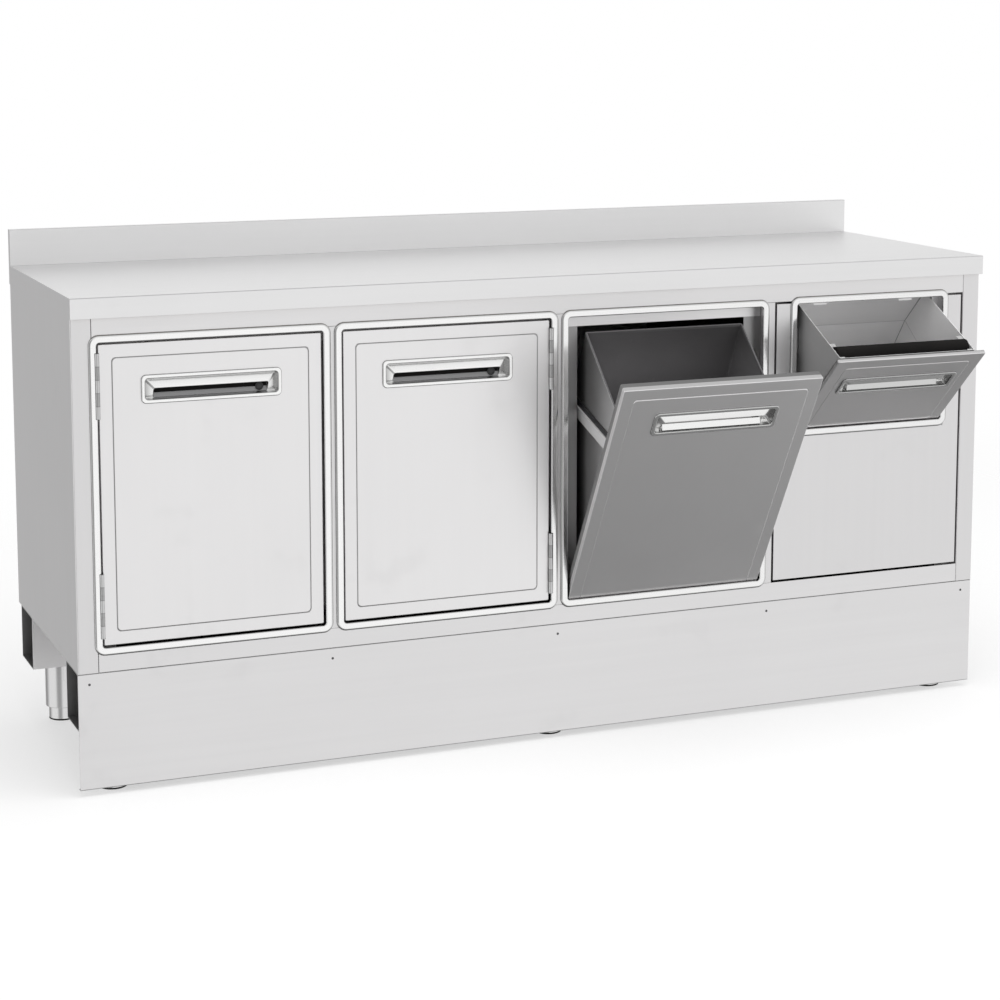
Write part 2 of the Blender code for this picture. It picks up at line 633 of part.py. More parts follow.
def build_bin():
    """Waste bin: its front, the tub behind it on two pivot pins and the liner that lifts out."""
    axis = (BAY_X[2], FRONT + FACE_BACK + BIN_PIVOT_DEPTH, FRONT_LOW + BIN_PIVOT_RISE)
    carrier = pivot("bin_axis", axis, BIN_TILT)
    offset = (0, -BIN_PIVOT_DEPTH, -BIN_PIVOT_RISE)
    build_front("bin", carrier, offset, FRONT_WIDTH, FRONT_HEIGHT, DOOR_THICK)
    build_pan("bin", carrier, offset, FRONT_WIDTH, FRONT_HEIGHT, DOOR_THICK)

    front = DOOR_THICK + SEAT
    slope = (TUB_RIM_BACK - TUB_RIM_FRONT) / (TUB_BACK_HIGH - front)

    def rim(along):
        return TUB_RIM_FRONT + slope * (along - front)

    shape = tub_shape(TUB_HALF, front, TUB_BACK_LOW, TUB_BACK_HIGH, TUB_LOW, rim, SHEET, TUB_RADIUS)
    tub = piece("bin_carrier", shape, "sheet_steel", carrier, offset)
    add_pins(tub, carrier, offset, TUB_HALF - SHEET / 2, TUB_HALF + BIN_PIN_LENGTH, BIN_PIN_RADIUS,
             BIN_PIVOT_DEPTH, BIN_PIVOT_RISE)
    bar = [(front, ARM_FRONT_RISE), (ARM_BACK, ARM_BACK_RISE), (ARM_BACK, ARM_BACK_RISE - ARM_HEIGHT),
           (front, ARM_FRONT_RISE - ARM_HEIGHT)]
    for side in (-1, 1):
        first, last = sorted((side * (TUB_HALF - SHEET / 2), side * (TUB_HALF + ARM_THICK)))
        combine(tub, prism(bar, "X", first, last), "UNION", carrier, offset)

    clear = SHEET + LINER_CLEAR
    lean = (TUB_BACK_HIGH - TUB_BACK_LOW) / (TUB_RIM_BACK - TUB_LOW)
    shape = tub_shape(TUB_HALF - clear, front + clear, TUB_BACK_LOW - clear,
                      TUB_BACK_HIGH - clear - lean * LINER_DROP, TUB_LOW + SHEET + SEAT,
                      lambda along: rim(along) - LINER_DROP, LINER_WALL, TUB_RADIUS)
    piece("bin_liner", shape, "dark_plastic", carrier, offset)

    bore = BIN_PIN_RADIUS + PIVOT_FIT
    for name, side, wall in (("left", -1, PARTITION_X[1]), ("right", 1, PARTITION_X[2])):
        foot = wall - side * (PARTITION / 2 + SEAT)
        nose = BAY_X[2] + side * (TUB_HALF + BOSS_CLEAR)
        outer = bore + BOSS_WALL
        loops = [circle(radius, along, "X", axis[1:])
                 for radius, along in ((bore, foot), (outer, foot), (outer, nose), (bore, nose))]
        piece("bin_pivot_" + name, join_loops(loops, ring=True), "sheet_steel")


def build_drawer():
    """Knock drawer: its front, the box with its pivot pins, the knock bar and the pivot ears."""
    axis = (DRAWER_X, FRONT + FACE_BACK + DRAWER_PIVOT_DEPTH, DRAWER_FRONT_LOW + DRAWER_PIVOT_RISE)
    carrier = pivot("drawer_axis", axis, DRAWER_TILT)
    offset = (0, -DRAWER_PIVOT_DEPTH, -DRAWER_PIVOT_RISE)
    face = build_front("drawer", carrier, offset, DRAWER_FRONT_WIDTH, DRAWER_FRONT_HEIGHT, DRAWER_THICK)
    half = DRAWER_FRONT_WIDTH / 2 + OVERCUT
    notch = block((-half, DRAWER_TOP_FLANGE, DRAWER_FRONT_HEIGHT - PANEL_RADIUS),
                  (half, DRAWER_THICK + OVERCUT, DRAWER_FRONT_HEIGHT + OVERCUT))
    combine(face, notch, "DIFFERENCE", carrier, offset)

    front = DRAWER_THICK + SEAT
    slope = (BOX_RIM_BACK - BOX_RIM_FRONT) / (BOX_BACK_HIGH - front)

    def rim(along):
        return BOX_RIM_FRONT + slope * (along - front)

    shape = tub_shape(BOX_HALF, front, BOX_BACK_LOW, BOX_BACK_HIGH, BOX_LOW, rim, SHEET, BOX_RADIUS,
                      (BOX_FOLD_RISE,))
    box = piece("drawer_box", shape, "sheet_steel", carrier, offset)
    add_pins(box, carrier, offset, BOX_HALF - SHEET / 2, EAR_X + EAR_THICK + SEAT, DRAWER_PIN_RADIUS,
             DRAWER_PIVOT_DEPTH, DRAWER_PIVOT_RISE)

    along = front + SHEET + KNOCK_BACK + KNOCK_RADIUS
    centre = (along, rim(along) - KNOCK_DROP)
    reach = BOX_HALF - SHEET - SEAT
    loops = [circle(radius, place, "X", centre)
             for radius, place in ((KNOCK_RADIUS - EDGE, -reach), (KNOCK_RADIUS, EDGE - reach),
                                   (KNOCK_RADIUS, reach - EDGE), (KNOCK_RADIUS - EDGE, reach))]
    piece("knock_bar", join_loops(loops), "black_rubber", carrier, offset)

    foot = FRONT + SHEET + SEAT
    size = DRAWER_PIN_RADIUS + EAR_MARGIN
    for name, side in (("left", -1), ("right", 1)):
        section = [(EAR_X, foot), (EAR_X + EAR_FLANGE, foot), (EAR_X + EAR_FLANGE, foot + EAR_THICK),
                   (EAR_X + EAR_THICK, foot + EAR_THICK), (EAR_X + EAR_THICK, axis[1] + size),
                   (EAR_X, axis[1] + size)]
        outline = [(DRAWER_X + side * across, depth) for across, depth in section]
        shape = prism(outline, "Z", axis[2] - size, axis[2] + size)
        ear = piece("drawer_bracket_" + name, shape, "sheet_steel")
        loops = [circle(DRAWER_PIN_RADIUS + PIVOT_FIT, DRAWER_X + side * (EAR_X + along), "X", axis[1:])
                 for along in (-OVERCUT, OVERCUT)]
        combine(ear, join_loops(loops), "DIFFERENCE")


def channel_shape(front, back, low, high):
    """A rectangular tube along the counter, open at both ends."""
    def loop(inset, along):
        return [(along, front + inset, low + inset), (along, back - inset, low + inset),
                (along, back - inset, high - inset), (along, front + inset, high - inset)]
    half = LENGTH / 2
    return join_loops([loop(0, -half), loop(0, half), loop(CHANNEL_WALL, half),
                       loop(CHANNEL_WALL, -half)], ring=True)


def build_base():
    """Channels under the body, the plinth in front of them, and six legs with their feet."""
    high = BODY_LOW - SEAT
    shape = channel_shape(CHANNEL_FRONT, CHANNEL_FRONT + CHANNEL_DEPTH, high - CHANNEL_HEIGHT, high)
    piece("front_channel", shape, "sheet_steel")
    shape = channel_shape(REAR_CHANNEL_BACK - REAR_CHANNEL_DEPTH, REAR_CHANNEL_BACK,
                          high - REAR_CHANNEL_HEIGHT, high)
    piece("rear_channel", shape, "sheet_steel")
    near = FRONT + PLINTH_BACK
    section = [(near, PLINTH_LOW), (near + PLINTH_HEM, PLINTH_LOW), (near + PLINTH_HEM, PLINTH_LOW + SHEET),
               (near + SHEET, PLINTH_LOW + SHEET), (near + SHEET, high), (near, high)]
    piece("plinth", prism(section, "X", -LENGTH / 2, LENGTH / 2), "sheet_steel")

    rows = (("front", FRONT_LEG_Y, high - CHANNEL_HEIGHT), ("rear", REAR_LEG_Y, high - REAR_CHANNEL_HEIGHT))
    sides = ("left", "middle", "right")
    for row, leg_y, under in rows:
        top = under - SEAT
        for side, leg_x in zip(sides, LEG_X):
            name = "%s_%s" % (row, side)
            inner = LEG_RADIUS - LEG_WALL
            leg = [(inner, top - LEG_CAP), (inner, LEG_LOW), (LEG_RADIUS, LEG_LOW), (LEG_RADIUS, top)]
            loops = [circle(radius, height) for radius, height in leg]
            piece("leg_" + name, join_loops(loops), "polished_steel", None, (leg_x, leg_y, 0))
            sleeve = inner - FOOT_FIT
            foot = [(sleeve - EDGE, 0), (sleeve, EDGE), (sleeve, LEG_LOW + FOOT_SLEEVE)]
            loops = [circle(radius, height) for radius, height in foot]
            piece("foot_" + name, join_loops(loops), "polished_steel", None, (leg_x, leg_y, 0))


clear_scene()
build_worktop()
build_side_panels()
build_partitions()
build_body()
build_trims()
build_blank_panel()
build_doors()
build_bin()
build_drawer()
build_base()
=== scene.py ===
"""Looks of a coffee machine counter in folded stainless steel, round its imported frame.

The sheet pieces are profiles with bent corners carried along the counter. The fronts, trims and
handles are rows of rounded rectangles. The tubs are rows of plan loops with a sloping rim. Turned
pieces are a profile spun round an axis. Places and sizes are in metres: X along the counter, Y from
front to back and Z up.
"""
from math import cos, pi, radians, sin

import bmesh
import bpy
import numpy as np
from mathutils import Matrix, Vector


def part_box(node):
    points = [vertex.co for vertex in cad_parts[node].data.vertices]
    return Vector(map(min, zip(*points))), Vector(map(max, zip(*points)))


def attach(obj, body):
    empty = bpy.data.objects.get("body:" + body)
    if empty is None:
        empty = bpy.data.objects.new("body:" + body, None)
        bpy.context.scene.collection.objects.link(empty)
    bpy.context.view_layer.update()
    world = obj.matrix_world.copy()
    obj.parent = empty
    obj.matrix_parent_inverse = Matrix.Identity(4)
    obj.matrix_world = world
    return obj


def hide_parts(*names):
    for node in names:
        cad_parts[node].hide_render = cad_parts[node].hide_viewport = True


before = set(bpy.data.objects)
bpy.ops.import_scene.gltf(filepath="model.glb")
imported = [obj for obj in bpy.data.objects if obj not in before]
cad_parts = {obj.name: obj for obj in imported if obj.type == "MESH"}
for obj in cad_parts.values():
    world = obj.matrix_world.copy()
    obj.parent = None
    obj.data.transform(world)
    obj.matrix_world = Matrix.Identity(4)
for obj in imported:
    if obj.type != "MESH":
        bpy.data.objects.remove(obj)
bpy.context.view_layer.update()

ALONG_X, ALONG_Y, ALONG_Z = 0, 1, 2

# Body, in sizes shared with the solids
SHEET = 0.0015
SEAT = 0.0003
LENGTH = 2.000
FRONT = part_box("side_panel_left")[0][1]
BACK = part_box("side_panel_left")[1][1]
HEIGHT = 0.970
UNDER_TOP = 0.930
BODY_LOW = 0.245
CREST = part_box("worktop")[1][2]
WORKTOP_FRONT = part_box("worktop")[0][1]
WORKTOP_END_LIP = 0.001
UPSTAND_THICK = 0.018
REAR_FLANGE = 0.030
OPEN_HALF = 0.232
OPEN_HIGH = 0.8905
JAMB_REACH = 0.040
STOP_BACK = 0.0258

# Base
LEG_WALL = 0.0055
PLINTH_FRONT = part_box("plinth")[0][1]
PLINTH_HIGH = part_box("plinth")[1][2]
PLINTH_HEM = 0.012
PLINTH_EDGE_DROP = 0.0012
SCREW_X = (0.022, 0.5105, 0.999, 1.487, 1.975)
SCREW_DROP = 0.022

# Bays and trims
BAY_X = (-0.7275, -0.2425, 0.2425, 0.7275)
BAY_WIDTH = 0.450
BAY_LOW = 0.2915
BAY_HIGH = 0.8835
DRAWER_CLEAR = (0.362, 0.273)
DRAWER_CLEAR_LOW = 0.6125
PANEL_LINE = 0.0014
TRIM_WIDTH = 0.014
TRIM_LAP = 0.0012
TRIM_RAISE = 0.004
TRIM_RADIUS = 0.020
TRIM_INNER_RADIUS = 0.007

# Fronts and hinges
FRONT_WIDTH = 0.441
FRONT_HEIGHT = 0.583
FRONT_LOW = 0.296
FACE_BACK = 0.001
DOOR_THICK = 0.022
LINE_INSET = 0.0255
LINE_WIDTH = 0.0028
LINE_DEPTH = 0.0010
FRONT_LIP = 0.011
FLANGE_TAPER = 0.030
HINGE_HEIGHT = 0.126
HINGE_INSET = 0.016
HINGE_LOWS = (FRONT_LOW + HINGE_INSET, FRONT_LOW + FRONT_HEIGHT - HINGE_INSET - HINGE_HEIGHT)
BARREL_NOTCH = 0.0026
KNUCKLES = 5

# Pulls
HANDLE_WIDTH = 0.278
HANDLE_HEIGHT = 0.056
HANDLE_DROP = 0.0625
HANDLE_RIM = 0.008
HANDLE_FLANGE = 0.003
HANDLE_WALL = 0.0012
SLOT_INSET = 0.036
SLOT_HEIGHT = 0.0195
POCKET = 0.0155
LATCH_X = 0.097

# Bin and drawer
BIN_PIVOT = (0.075, 0.018)
BIN_TILT = 29.2
BIN_HALF = 0.181
LINER_CLEAR = 0.0009
LINER_WALL = 0.0012
# Heights over which the painted light deep in the liner fades out, and the span of its painted shade
# from left to right
LINER_PAINTED_LIGHT_LOW = 0.74
LINER_PAINTED_LIGHT_HIGH = 0.85
LINER_PAINTED_SHADE_SPAN = 0.20
DRAWER_LOW = 0.6165
DRAWER_WIDTH = 0.356
DRAWER_HEIGHT = 0.265
DRAWER_THICK = 0.017
DRAWER_TOP_FLANGE = 0.008
DRAWER_PIVOT = (0.026, 0.010)
DRAWER_TILT = 46.4

# Fineness of the shapes
FOLD_SOFT = 0.0009
EDGE_SOFT = 0.0005
SMOOTH_ANGLE = radians(32)
CORNER_STEPS = 8
TURN_STEPS = 48
CORNER_TURN = (np.arange(4)[:, None] - 1 + np.linspace(0, 1, CORNER_STEPS + 1)) * pi / 2
CORNER_RIGHT = np.array((1, 1, -1, -1))[:, None]
CORNER_UP = np.array((-1, 1, 1, -1))[:, None]


# Shapes as arrays

def unit(vectors):
    """Each vector over its own length."""
    return vectors / np.linalg.norm(vectors, axis=-1, keepdims=True)


def bent(outline, radius, steps=5):
    """A closed outline whose corners are arcs. An arc's middle lies on its corner's bisector, the
    radius over the sine of half the corner's angle away, and its points turn evenly from one
    tangent point to the other."""
    corner = np.asarray(outline, float)
    radius = np.broadcast_to(np.asarray(radius, float), len(corner))[:, None]
    before = unit(np.roll(corner, 1, 0) - corner)
    after = unit(np.roll(corner, -1, 0) - corner)
    half = np.arccos(np.clip((before * after).sum(1, keepdims=True), -1, 1)) / 2
    middle = corner + unit(before + after) * radius / np.sin(half)
    start = corner + before * radius / np.tan(half) - middle
    end = corner + after * radius / np.tan(half) - middle
    first = np.arctan2(start[:, 1], start[:, 0])
    last = np.arctan2(end[:, 1], end[:, 0])
    turn = (last - first + pi) % (2 * pi) - pi
    angle = first[:, None] + turn[:, None] * np.linspace(0, 1, steps + 1)
    arc = np.stack((np.cos(angle), np.sin(angle)), -1)
    return (middle[:, None] + radius[:, None] * arc).reshape(-1, 2)


def skin(grid, ring=False, tone=0.0):
    """A shell over rows of closed loops: four-sided faces join each row to the next. A ring closes
    on its first row, and otherwise the first and last rows are filled. tone gives each point its
    painted shade, from 0 to 1."""
    rows, columns = grid.shape[:2]
    index = np.arange(rows * columns).reshape(rows, columns)
    near = index if ring else index[:-1]
    far = np.roll(index, -1, 0) if ring else index[1:]
    quads = np.stack((near, np.roll(near, -1, 1), np.roll(far, -1, 1), far), -1)
    faces = quads.reshape(-1, 4).tolist()
    if not ring:
        faces += [index[0].tolist(), index[-1].tolist()]
    return grid.reshape(-1, 3), faces, np.broadcast_to(tone, (rows, columns)).reshape(-1)


def bar(outline, axis, low, high, tone=0.0):
    """An outline carried straight along one axis. Its two numbers are the other two axes in order."""
    outline = np.asarray(outline, float)
    ends = np.repeat(outline[None], 2, 0)
    along = np.repeat(np.array((low, high), float)[:, None, None], len(outline), 1)
    return skin(np.insert(ends, axis, along[..., 0], axis=-1), False, tone)


def upright_rows(width, height, radius, depth, middle, stops=()):
    """Rows of rounded rectangles that face the front, each with its width, height, corner radius,
    depth in Y and the height of its middle in Z. stops are heights at which the right side gets a
    point."""
    shared = np.broadcast_arrays(width, height, radius, depth, middle)
    width, height, radius, depth, middle = (np.atleast_1d(one).astype(float)[:, None, None]
                                            for one in shared)
    across = CORNER_RIGHT * (width / 2 - radius) + radius * np.cos(CORNER_TURN)
    up = middle + CORNER_UP * (height / 2 - radius) + radius * np.sin(CORNER_TURN)
    rows = len(width)
    across, up = across.reshape(rows, -1), up.reshape(rows, -1)
    if len(stops):
        edge = np.repeat(width[:, :, 0] / 2, len(stops), 1)
        added = np.repeat(np.asarray(stops, float)[None], rows, 0)
        across = np.hstack((across[:, :CORNER_STEPS + 1], edge, across[:, CORNER_STEPS + 1:]))
        up = np.hstack((up[:, :CORNER_STEPS + 1], added, up[:, CORNER_STEPS + 1:]))
    return np.stack((across, np.broadcast_to(depth[:, :, 0], across.shape), up), -1)


def spun(profile, axis, centre):
    """A profile of (radius, place along the axis) rows spun round an axis through a centre."""
    profile = np.asarray(profile, float)
    turn = np.linspace(0, 2 * pi, TURN_STEPS, endpoint=False)
    radius = profile[:, :1]
    around = np.stack((centre[0] + radius * np.cos(turn), centre[1] + radius * np.sin(turn)), -1)
    along = np.repeat(profile[:, 1:], TURN_STEPS, 1)
    return skin(np.insert(around, axis, along, axis=-1))


def both_ends(profile, centre):
    """A profile spun round X at the left end and at the right end of a piece."""
    return [spun([(radius, side * along) for radius, along in profile], ALONG_X, centre)
            for side in (-1, 1)]


def sloping(front, front_high, back, back_high):
    """A height that runs straight from one at the front to another at the back."""
    slope = (back_high - front_high) / (back - front)
    return lambda along: front_high + slope * (along - front)


def tub_rows(half, front, back, rim, inset, radius, share, low, lean=None):
    """Rows of rounded plan loops between a floor and a sloping rim. share goes from 0 at the floor
    to 1 at the rim and lifts each point from the floor's height to the rim's height at that point.
    lean blends the back wall from back[0] to back[1], and is share where it isn't given. inset is
    taken off all round."""
    lean = share if lean is None else lean
    shared = np.broadcast_arrays(inset, radius, share, low, lean)
    inset, radius, share, low, lean = (np.asarray(one, float)[:, None, None] for one in shared)
    behind = back[0] + (back[1] - back[0]) * lean
    across = CORNER_RIGHT * (half - inset - radius) + radius * np.cos(CORNER_TURN)
    depth = (behind - front) / 2 - inset - radius
    along = (front + behind) / 2 + CORNER_UP * depth + radius * np.sin(CORNER_TURN)
    up = low + (rim(along) - low) * share
    rows = len(inset)
    return np.stack((across.reshape(rows, -1), along.reshape(rows, -1), up.reshape(rows, -1)), -1)


class Place:
    """Where a front stands: its face's bottom middle, and the axis it is tipped about. A point's
    depth behind the face and height above the bottom edge turn about that axis by the tilt."""

    def __init__(self, middle, low, pivot=(0.0, 0.0), tilt=0.0):
        self.middle = middle
        self.low = low
        self.pivot = pivot
        self.tilt = radians(tilt)

    def put(self, shell):
        points, faces, tone = shell
        depth = points[:, 1] - self.pivot[0]
        rise = points[:, 2] - self.pivot[1]
        along = FRONT + FACE_BACK + self.pivot[0] + depth * cos(self.tilt) - rise * sin(self.tilt)
        up = self.low + self.pivot[1] + depth * sin(self.tilt) + rise * cos(self.tilt)
        return np.stack((points[:, 0] + self.middle, along, up), -1), faces, tone


def moved(shell, by):
    """A shell shifted by a vector."""
    return shell[0] + np.asarray(by, float), *shell[1:]


def mirrored(shell):
    """A shell with left and right changed over."""
    return shell[0] * np.array((-1.0, 1.0, 1.0)), *shell[1:]


# Pieces

def linked(name, data):
    """A new object in the scene."""
    obj = bpy.data.objects.new(name, data)
    bpy.context.collection.objects.link(obj)
    return obj


def finish_mesh(obj, look, body, nodes):
    """Gives a piece its finish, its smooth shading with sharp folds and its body."""
    obj.data.materials.clear()
    obj.data.materials.append(look)
    obj.data.shade_smooth()
    obj.data.set_sharp_from_angle(angle=SMOOTH_ANGLE)
    even = obj.modifiers.new("even_normals", "WEIGHTED_NORMAL")
    even.keep_sharp = True
    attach(obj, body)
    if nodes:
        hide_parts(*nodes)
    return obj


def piece(name, shells, look, body, nodes=()):
    """One object of closed shells, with its faces turned outwards and its tones as an attribute."""
    points, outlines, tones = zip(*shells)
    starts = np.cumsum([0] + [len(one) for one in points[:-1]])
    faces = [[int(start) + corner for corner in face]
             for start, outline in zip(starts, outlines) for face in outline]
    mesh = bpy.data.meshes.new(name)
    mesh.from_pydata(np.concatenate(points).tolist(), [], faces)
    painted_shade = mesh.attributes.new("painted_shade", "FLOAT", "POINT")
    painted_shade.data.foreach_set("value", np.concatenate(tones).astype(np.float32))
    shape = bmesh.new()
    shape.from_mesh(mesh)
    bmesh.ops.remove_doubles(shape, verts=shape.verts, dist=1e-7)
    bmesh.ops.recalc_face_normals(shape, faces=shape.faces)
    shape.to_mesh(mesh)
    shape.free()
    return finish_mesh(linked(name, mesh), look, body, nodes)


def dress(look, *nodes):
    """Gives solids that stay as they are their finish."""
    for node in nodes:
        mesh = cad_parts[node].data
        mesh.materials.clear()
        mesh.materials.append(look)


def softened(node, look, gap=0.0, opening=False):
    """A copy of one of the cabinet's sheets with its triangles merged and its sharp edges rounded by
    a small bevel. gap is taken off its outer edges in width and height. A sheet with an opening
    keeps its triangles, because the bevel can fill a face that goes round one."""
    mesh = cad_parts[node].data.copy()
    mesh.name = node + "_soft"
    shape = bmesh.new()
    shape.from_mesh(mesh)
    bmesh.ops.remove_doubles(shape, verts=shape.verts, dist=1e-6)
    if not opening:
        bmesh.ops.dissolve_limit(shape, angle_limit=radians(1), verts=shape.verts, edges=shape.edges)
    shape.to_mesh(mesh)
    shape.free()
    points = np.empty(3 * len(mesh.vertices))
    mesh.vertices.foreach_get("co", points)
    low, high = (np.asarray(corner, float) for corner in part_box(node))
    margin = np.array((gap, 0.0, gap))
    points = np.clip(points.reshape(-1, 3), low + margin, high - margin)
    mesh.vertices.foreach_set("co", points.ravel())
    obj = linked(node + "_soft", mesh)
    edges = obj.modifiers.new("edges", "BEVEL")
    edges.width = EDGE_SOFT
    edges.segments = 2
    edges.limit_method = "ANGLE"
    edges.angle_limit = radians(40)
    return finish_mesh(obj, look, "cabinet", (node,))


# Finishes

class Value:
    """One output of a finish's nodes. Operators on it add Math nodes."""

    def __init__(self, finish, socket):
        self.finish = finish
        self.socket = socket

    def math(self, operation, first, second):
        return self.finish.node("ShaderNodeMath", {"operation": operation}, {0: first, 1: second})

    def __add__(self, other):
        return self.math("ADD", self, other)

    def __sub__(self, other):
        return self.math("SUBTRACT", self, other)

    def __rsub__(self, other):
        return self.math("SUBTRACT", other, self)

    def __mul__(self, other):
        return self.math("MULTIPLY", self, other)

    def __abs__(self):
        return self.math("ABSOLUTE", self, 0.0)

    def most(self, other):
        return self.math("MAXIMUM", self, other)

    __radd__ = __add__
    __rmul__ = __mul__


MIX_FIRST, MIX_SECOND, MIX_OUT = 6, 7, 2


class Finish:
    """A material: its nodes are added by node(), and shade() feeds its Principled shader."""

    def __init__(self, name, tree=None):
        if tree is None:
            self.material = bpy.data.materials.new(name)
            self.material.use_nodes = True
            tree = self.material.node_tree
        self.tree = tree
        self.place = None

    def node(self, kind, settings=None, sockets=None, out=0):
        """A new node's output. Its settings are set first, and then its sockets' values or links."""
        added = self.tree.nodes.new(kind)
        for key, setting in (settings or {}).items():
            setattr(added, key, setting)
        for key, value in (sockets or {}).items():
            self.feed(added.inputs[key], value)
        return Value(self, added.outputs[out])

    def feed(self, socket, value):
        if isinstance(value, Value):
            self.tree.links.new(value.socket, socket)
        else:
            socket.default_value = value

    def where(self):
        if self.place is None:
            self.place = self.node("ShaderNodeTexCoord", out="Object")
        return self.place

    def noise(self, scale, detail=2.0, roughness=0.5, shift=(0, 0, 0)):
        """Cloudy noise, with its own scale along each axis."""
        if not isinstance(scale, tuple):
            scale = (scale, scale, scale)
        spread = self.node("ShaderNodeMapping", {}, {"Vector": self.where(), "Location": shift,
                                                     "Scale": scale})
        return self.node("ShaderNodeTexNoise", {}, {"Vector": spread, "Scale": 1.0, "Detail": detail,
                                                    "Roughness": roughness})

    def hair(self, grain, across, along, detail, roughness, shift=(0, 0, 0)):
        """Noise drawn out along one axis."""
        scale = [across] * 3
        scale[grain] = along
        return self.noise(tuple(scale), detail, roughness, shift)

    def band(self, value, low, high):
        """0 below low and 1 above high, with a smooth step between."""
        return self.node("ShaderNodeMapRange", {"interpolation_type": "SMOOTHSTEP"},
                         {"Value": value, "From Min": low, "From Max": high})

    def axis(self, number):
        """One coordinate of the place."""
        return self.node("ShaderNodeSeparateXYZ", {}, {0: self.where()}, number)

    def tone(self):
        """The piece's painted-shade attribute, from 0 to 1."""
        return self.node("ShaderNodeAttribute", {"attribute_name": "painted_shade"}, out="Fac")

    def mix(self, share, first, second, blend="MIX"):
        """Two colours mixed by a share."""
        return self.node("ShaderNodeMix", {"data_type": "RGBA", "blend_type": blend},
                         {0: share, MIX_FIRST: first, MIX_SECOND: second}, MIX_OUT)

    def tint(self, share, first, second):
        """A colour between two others, each of three numbers."""
        return self.mix(share, (*first, 1.0), (*second, 1.0))

    def darker(self, share, colour, most):
        """A colour darkened by most where share is 1."""
        left = 1 - most
        return self.mix(share, colour, (left, left, left, 1.0), "MULTIPLY")

    def bump(self, height, strength, distance):
        return self.node("ShaderNodeBump", {}, {"Strength": strength, "Distance": distance,
                                                "Height": height})

    def shade(self, **inputs):
        shader = self.tree.nodes["Principled BSDF"]
        for key, value in inputs.items():
            self.feed(shader.inputs[key.replace("_", " ").title().replace("Ior", "IOR")], value)
        return self.material


FULL_STREAK = 0.05
# How much painted shade darkens steel where a piece's attribute is 1
PAINTED_SHADE_DEPTH = 0.6


def brushed(name, grain, colour, rough, streak=0.035, lines=1100.0, inside=0.0, walls=(FRONT, BACK),
            starts=(0.003, 0.022), metal=1.0):
    """Satin stainless sheet: fine lines and broader streaks drawn out along the grain, clouds where
    it has been wiped, and a few soft smudges. inside is how much painted shade darkens the steel
    between two walls' depths, inside the cabinet, and starts is where behind the first wall that
    sets in. metal below 1 is a blasted sheet that scatters more light."""
    finish = Finish(name)
    hair = finish.hair(grain, lines, 9.0, 3.0, 0.65)
    sweep = finish.hair(grain, 70.0, 1.6, 2.0, 0.5, (3.0, 7.0, 1.0))
    cloud = finish.noise(3.2, 3.0, 0.55, (11.0, 5.0, 2.0))
    smudge = finish.band(finish.noise(8.5, 4.0, 0.6, (2.0, 9.0, 4.0)), 0.60, 0.74)
    tone = (hair - 0.5) * 0.5 + (sweep - 0.5) * 0.9 + (cloud - 0.5) * 0.35
    share = tone * (streak / FULL_STREAK) + 0.5
    dark = tuple(channel * (1 - streak) for channel in colour)
    light = tuple(min(channel * (1 + streak), 1.0) for channel in colour)
    # Painted shade from the piece's attribute
    base = finish.darker(finish.tone(), finish.tint(share, dark, light), PAINTED_SHADE_DEPTH)
    # Painted shade: darker between the two walls' depths, inside the cabinet
    if inside:
        depth, rear = finish.axis(ALONG_Y), walls[1] - SHEET
        between = finish.band(depth, walls[0] + starts[0], walls[0] + starts[1])
        between = between - finish.band(depth, rear + SEAT, rear + 3 * SEAT)
        base = finish.darker(between, base, inside)
    roughness = (hair - 0.5) * 0.10 + (cloud - 0.5) * 0.08 + smudge * 0.05 + rough
    return finish.shade(base_color=base, roughness=roughness, metallic=metal,
                        normal=finish.bump(hair, 0.10, 0.0003))


def drawn(finish, grain, patch, colour, dark):
    """Faint drawing lines along the grain, rubbed patches, and the colour that both give."""
    hair = finish.hair(grain, 1500.0, 14.0, 2.0, 0.6)
    cloud = finish.noise(patch, 3.0, 0.6, (4.0, 1.0, 8.0))
    share = (hair - 0.5) * 0.5 + (cloud - 0.5) * 0.8 + 0.5
    return hair, cloud, finish.tint(share, tuple(channel * dark for channel in colour), colour)


def polished(name, grain, colour, rough):
    """Bright trim steel: faint drawing lines along its length, fingerprints that roughen it, and paler
    rubbed patches. Its colour is darkened where the piece carries painted shade."""
    finish = Finish(name)
    hair, cloud, base = drawn(finish, grain, 12.0, colour, 0.95)
    prints = finish.band(finish.noise(38.0, 3.0, 0.6, (6.0, 2.0, 5.0)), 0.58, 0.72)
    # Painted shade from the piece's attribute
    base = finish.darker(finish.tone(), base, PAINTED_SHADE_DEPTH)
    roughness = (hair - 0.5) * 0.08 + (cloud - 0.5) * 0.08 + prints * 0.08 + rough
    return finish.shade(base_color=base, roughness=roughness, metallic=1.0,
                        normal=finish.bump(hair, 0.06, 0.0002))


def knuckled(name, colour, rough):
    """Hinge steel: on each barrel every other knuckle is duller, with a dark joint at each change.
    The place on a barrel counts knuckles from the barrel's lower end."""
    finish = Finish(name)
    up = finish.axis(ALONG_Z)
    upper = finish.band(up, 0.55, 0.60)
    first, second = HINGE_LOWS
    count = (up - first - upper * (second - first)) * (KNUCKLES / HINGE_HEIGHT)
    wave = finish.node("ShaderNodeMath", {"operation": "PINGPONG"}, {0: count + 1.5, 1: 1.0})
    other = finish.band(wave, 0.46, 0.54)
    joint = finish.band(wave, 0.44, 0.49) - finish.band(wave, 0.51, 0.56)
    hair, cloud, base = drawn(finish, ALONG_Z, 14.0, colour, 0.93)
    base = finish.darker(joint, finish.darker(other, base, 0.30), 0.4)
    return finish.shade(base_color=base, roughness=(hair - 0.5) * 0.08 + (cloud - 0.5) * 0.1 + rough,
                        metallic=1.0, normal=finish.bump(hair, 0.06, 0.0002))


